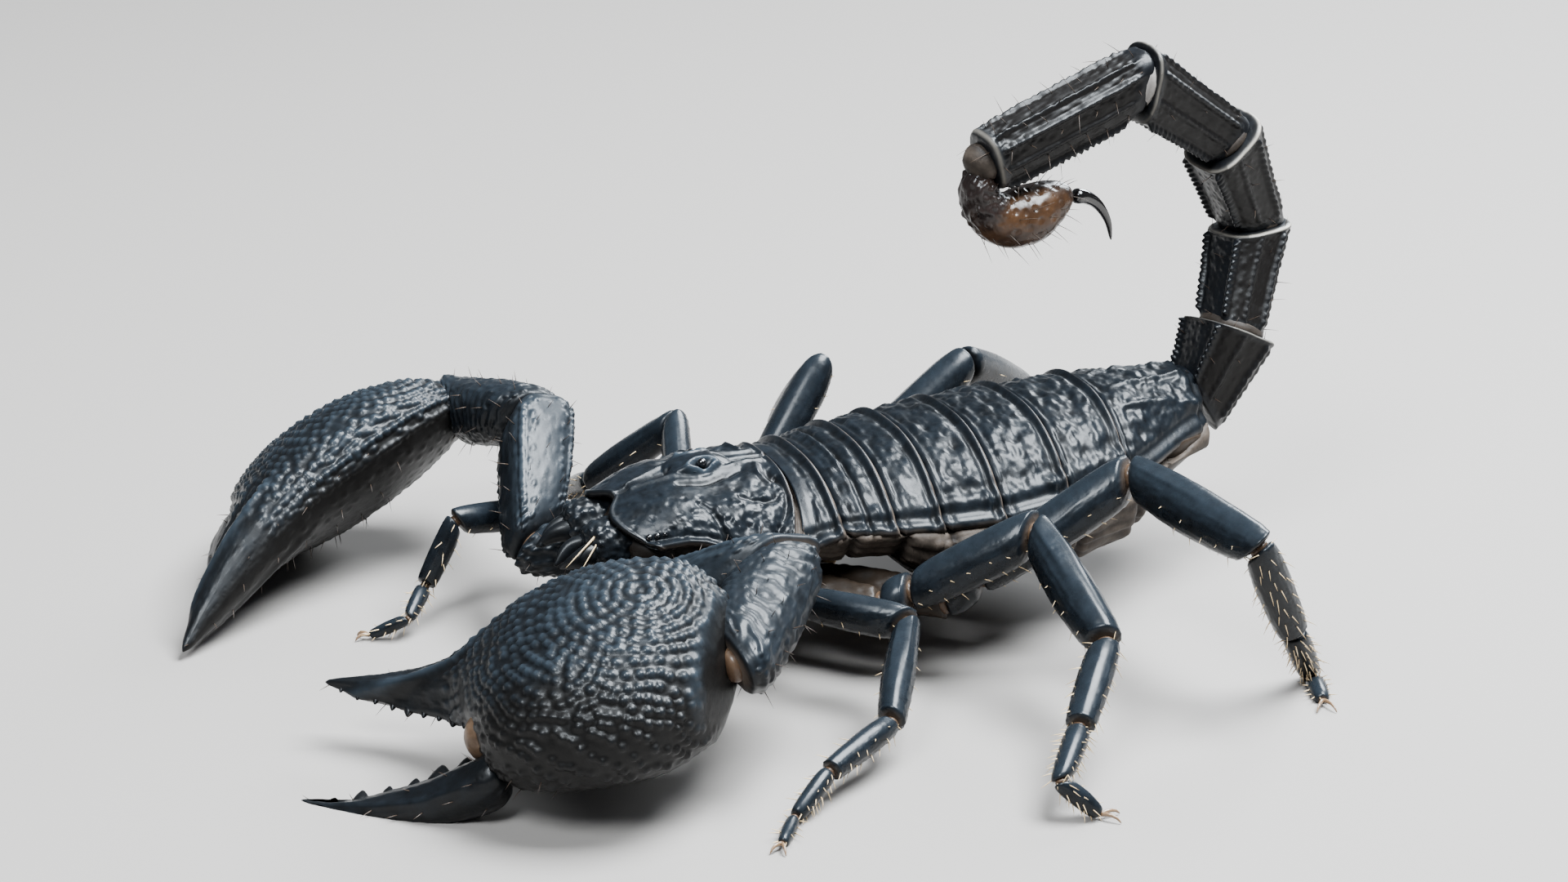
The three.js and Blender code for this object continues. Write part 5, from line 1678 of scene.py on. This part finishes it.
def telson(root):
    """The bulb and its sting, bent along one path in the tail's plane."""
    clay, path, length = telson_part("telson bulb", VESICLE, root, 16, 4)
    t = clay.at[:, 2] / length
    neck = 1 - ease(t, 0.24, 0.38)
    relief = clay.grains(clay.scatter(1.5, t > 0.3, 4), 0.5, -0.12) + 0.08 * clay.rough(1.8)
    knobs = clay.grains(clay.scatter(0.9, t < 0.35, 6), 0.45, 0.2)
    relief += neck * (0.2 * clay.rough(0.9, (1, 1, 0.7)) + knobs)
    clay.push(relief)
    clay.paint("hollow", neck + 0.9 * ease(t, 0.88, 1.0) + 0.22 * clay.rough(1.6))
    follow(clay, path, (1, 0, 0))
    grow_bristles("tail", clay, "telson", t > 0.35, 1.9, 2.6, 0.03, np.array((0, 0.8, -0.1)), 66)
    settle(clay, telson_amber, "amber_cuticle", "vesicle")
    sting, path, _ = telson_part("sting", ACULEUS, root, 12, 3)
    settle(follow(sting, path, (1, 0, 0)), polished_black, "sting_black", "aculeus")


def tail():
    joints = tail_joints()
    frames = link_frames(joints, (1, 0, 0))
    for k in range(5):
        tail_segment(k, joints, frames)
    axes = [axis for axis, _, _ in frames] + [HANGING]
    front = [knee_skin(joints[k + 1], axes[k], axes[k + 1], TAIL[k][3] * 0.8, 0.4) for k in range(3)]
    settle(Clay(joined(front, "tail joint skins")), side_skin, "soft_skin")
    settle(Clay(knee_skin(joints[4], axes[3], axes[4], TAIL[3][3] * 0.86, 0.5)), pale_skin, "soft_skin")
    settle(Clay(knee_skin(joints[5], axes[4], axes[5], 2.35, 0.85)), side_skin, "soft_skin")
    telson(joints[-1])


# ---------------------------------------------------------------- assembly
for number in range(1, 8):
    back_plate(number)
for number in range(5):
    belly_plate(number)
soft_body()
neck_skin()
head_shield()
eyes()
head_underside()
for name, sign in (("left", 1), ("right", -1)):
    comb(name, sign)
    jaw(name, sign)
legs()
arms()
tail()
mouth_bristles()
coat_of_bristles("mouth bristles", "body", pale_bristle, "claw_cuticle", 0.06)
coat_of_bristles("leg bristles", "leg", pale_bristle, "leg_cuticle")
coat_of_bristles("arm bristles", "arm", dark_bristle, "claw_cuticle")
coat_of_bristles("tail bristles", "tail", dark_bristle, "tail_cuticle")


# ---------------------------------------------------------------- floor, light and camera
FLOOR_COLOUR = rgb(0.235, 0.216, 0.200)
SKY_COLOUR = rgb(0.78, 0.84, 0.92)
SKY_STRENGTH = 0.2
LAMP_COLOUR = (0.87, 0.94, 1.0)
# Square lamps: azimuth from the front toward the left side, elevation, distance and size in metres, power
LAMPS = {
    "overhead light": (160, 68, 0.62, 0.34, 29),
    "front light": (40, 52, 0.75, 0.24, 9),
    "rear light": (215, 30, 0.8, 0.3, 9),
}
LAMP_TARGET = (0, 0, 0.02)  # in metres
CAMERA_TARGET = (-7.6, 0.2, 19.6)
CAMERA_AZIMUTH = 66.5
CAMERA_ELEVATION = 21.5
CAMERA_DISTANCE = 371.5
LENS = 75
SENSOR_WIDTH = 36


def place_floor():
    nothing_selected()
    bpy.ops.mesh.primitive_plane_add(size=3)
    floor = named("floor")
    floor.data.materials.append(plain_material("pale floor", FLOOR_COLOUR, 0.8))


def way_out(azimuth, elevation):
    """Direction from the scorpion, at an azimuth from its front toward its left side."""
    a, e = math.radians(azimuth), math.radians(elevation)
    return (math.sin(a) * math.cos(e), -math.cos(a) * math.cos(e), math.sin(e))


def place_looking(name, data, place, target):
    """Add a lamp or a camera that looks at its target."""
    thing = bpy.data.objects.new(name, data)
    bpy.context.scene.collection.objects.link(thing)
    thing.location = place
    thing.rotation_euler = (Vector(target) - Vector(place)).to_track_quat("-Z", "Y").to_euler()
    return thing


def place_lamps():
    for name, (azimuth, elevation, distance, size, power) in LAMPS.items():
        lamp = bpy.data.lights.new(name, "AREA")
        lamp.shape = "SQUARE"
        lamp.size = size
        lamp.energy = power
        lamp.color = LAMP_COLOUR
        place_looking(name, lamp, Vector(way_out(azimuth, elevation)) * distance, LAMP_TARGET)


def place_sky():
    world = bpy.data.worlds.new("studio")
    world.use_nodes = True
    sky = world.node_tree.nodes["Background"].inputs
    sky["Color"].default_value = SKY_COLOUR
    sky["Strength"].default_value = SKY_STRENGTH
    bpy.context.scene.world = world


def place_camera():
    camera = bpy.data.cameras.new("camera")
    camera.lens = LENS
    camera.sensor_width = SENSOR_WIDTH
    target = np.array(CAMERA_TARGET) * MM + SHIFT
    way = np.array(way_out(CAMERA_AZIMUTH, CAMERA_ELEVATION))
    place = Vector(target + way * CAMERA_DISTANCE * MM)
    bpy.context.scene.camera = place_looking("camera", camera, place, target)


place_floor()
place_lamps()
place_sky()
place_camera()
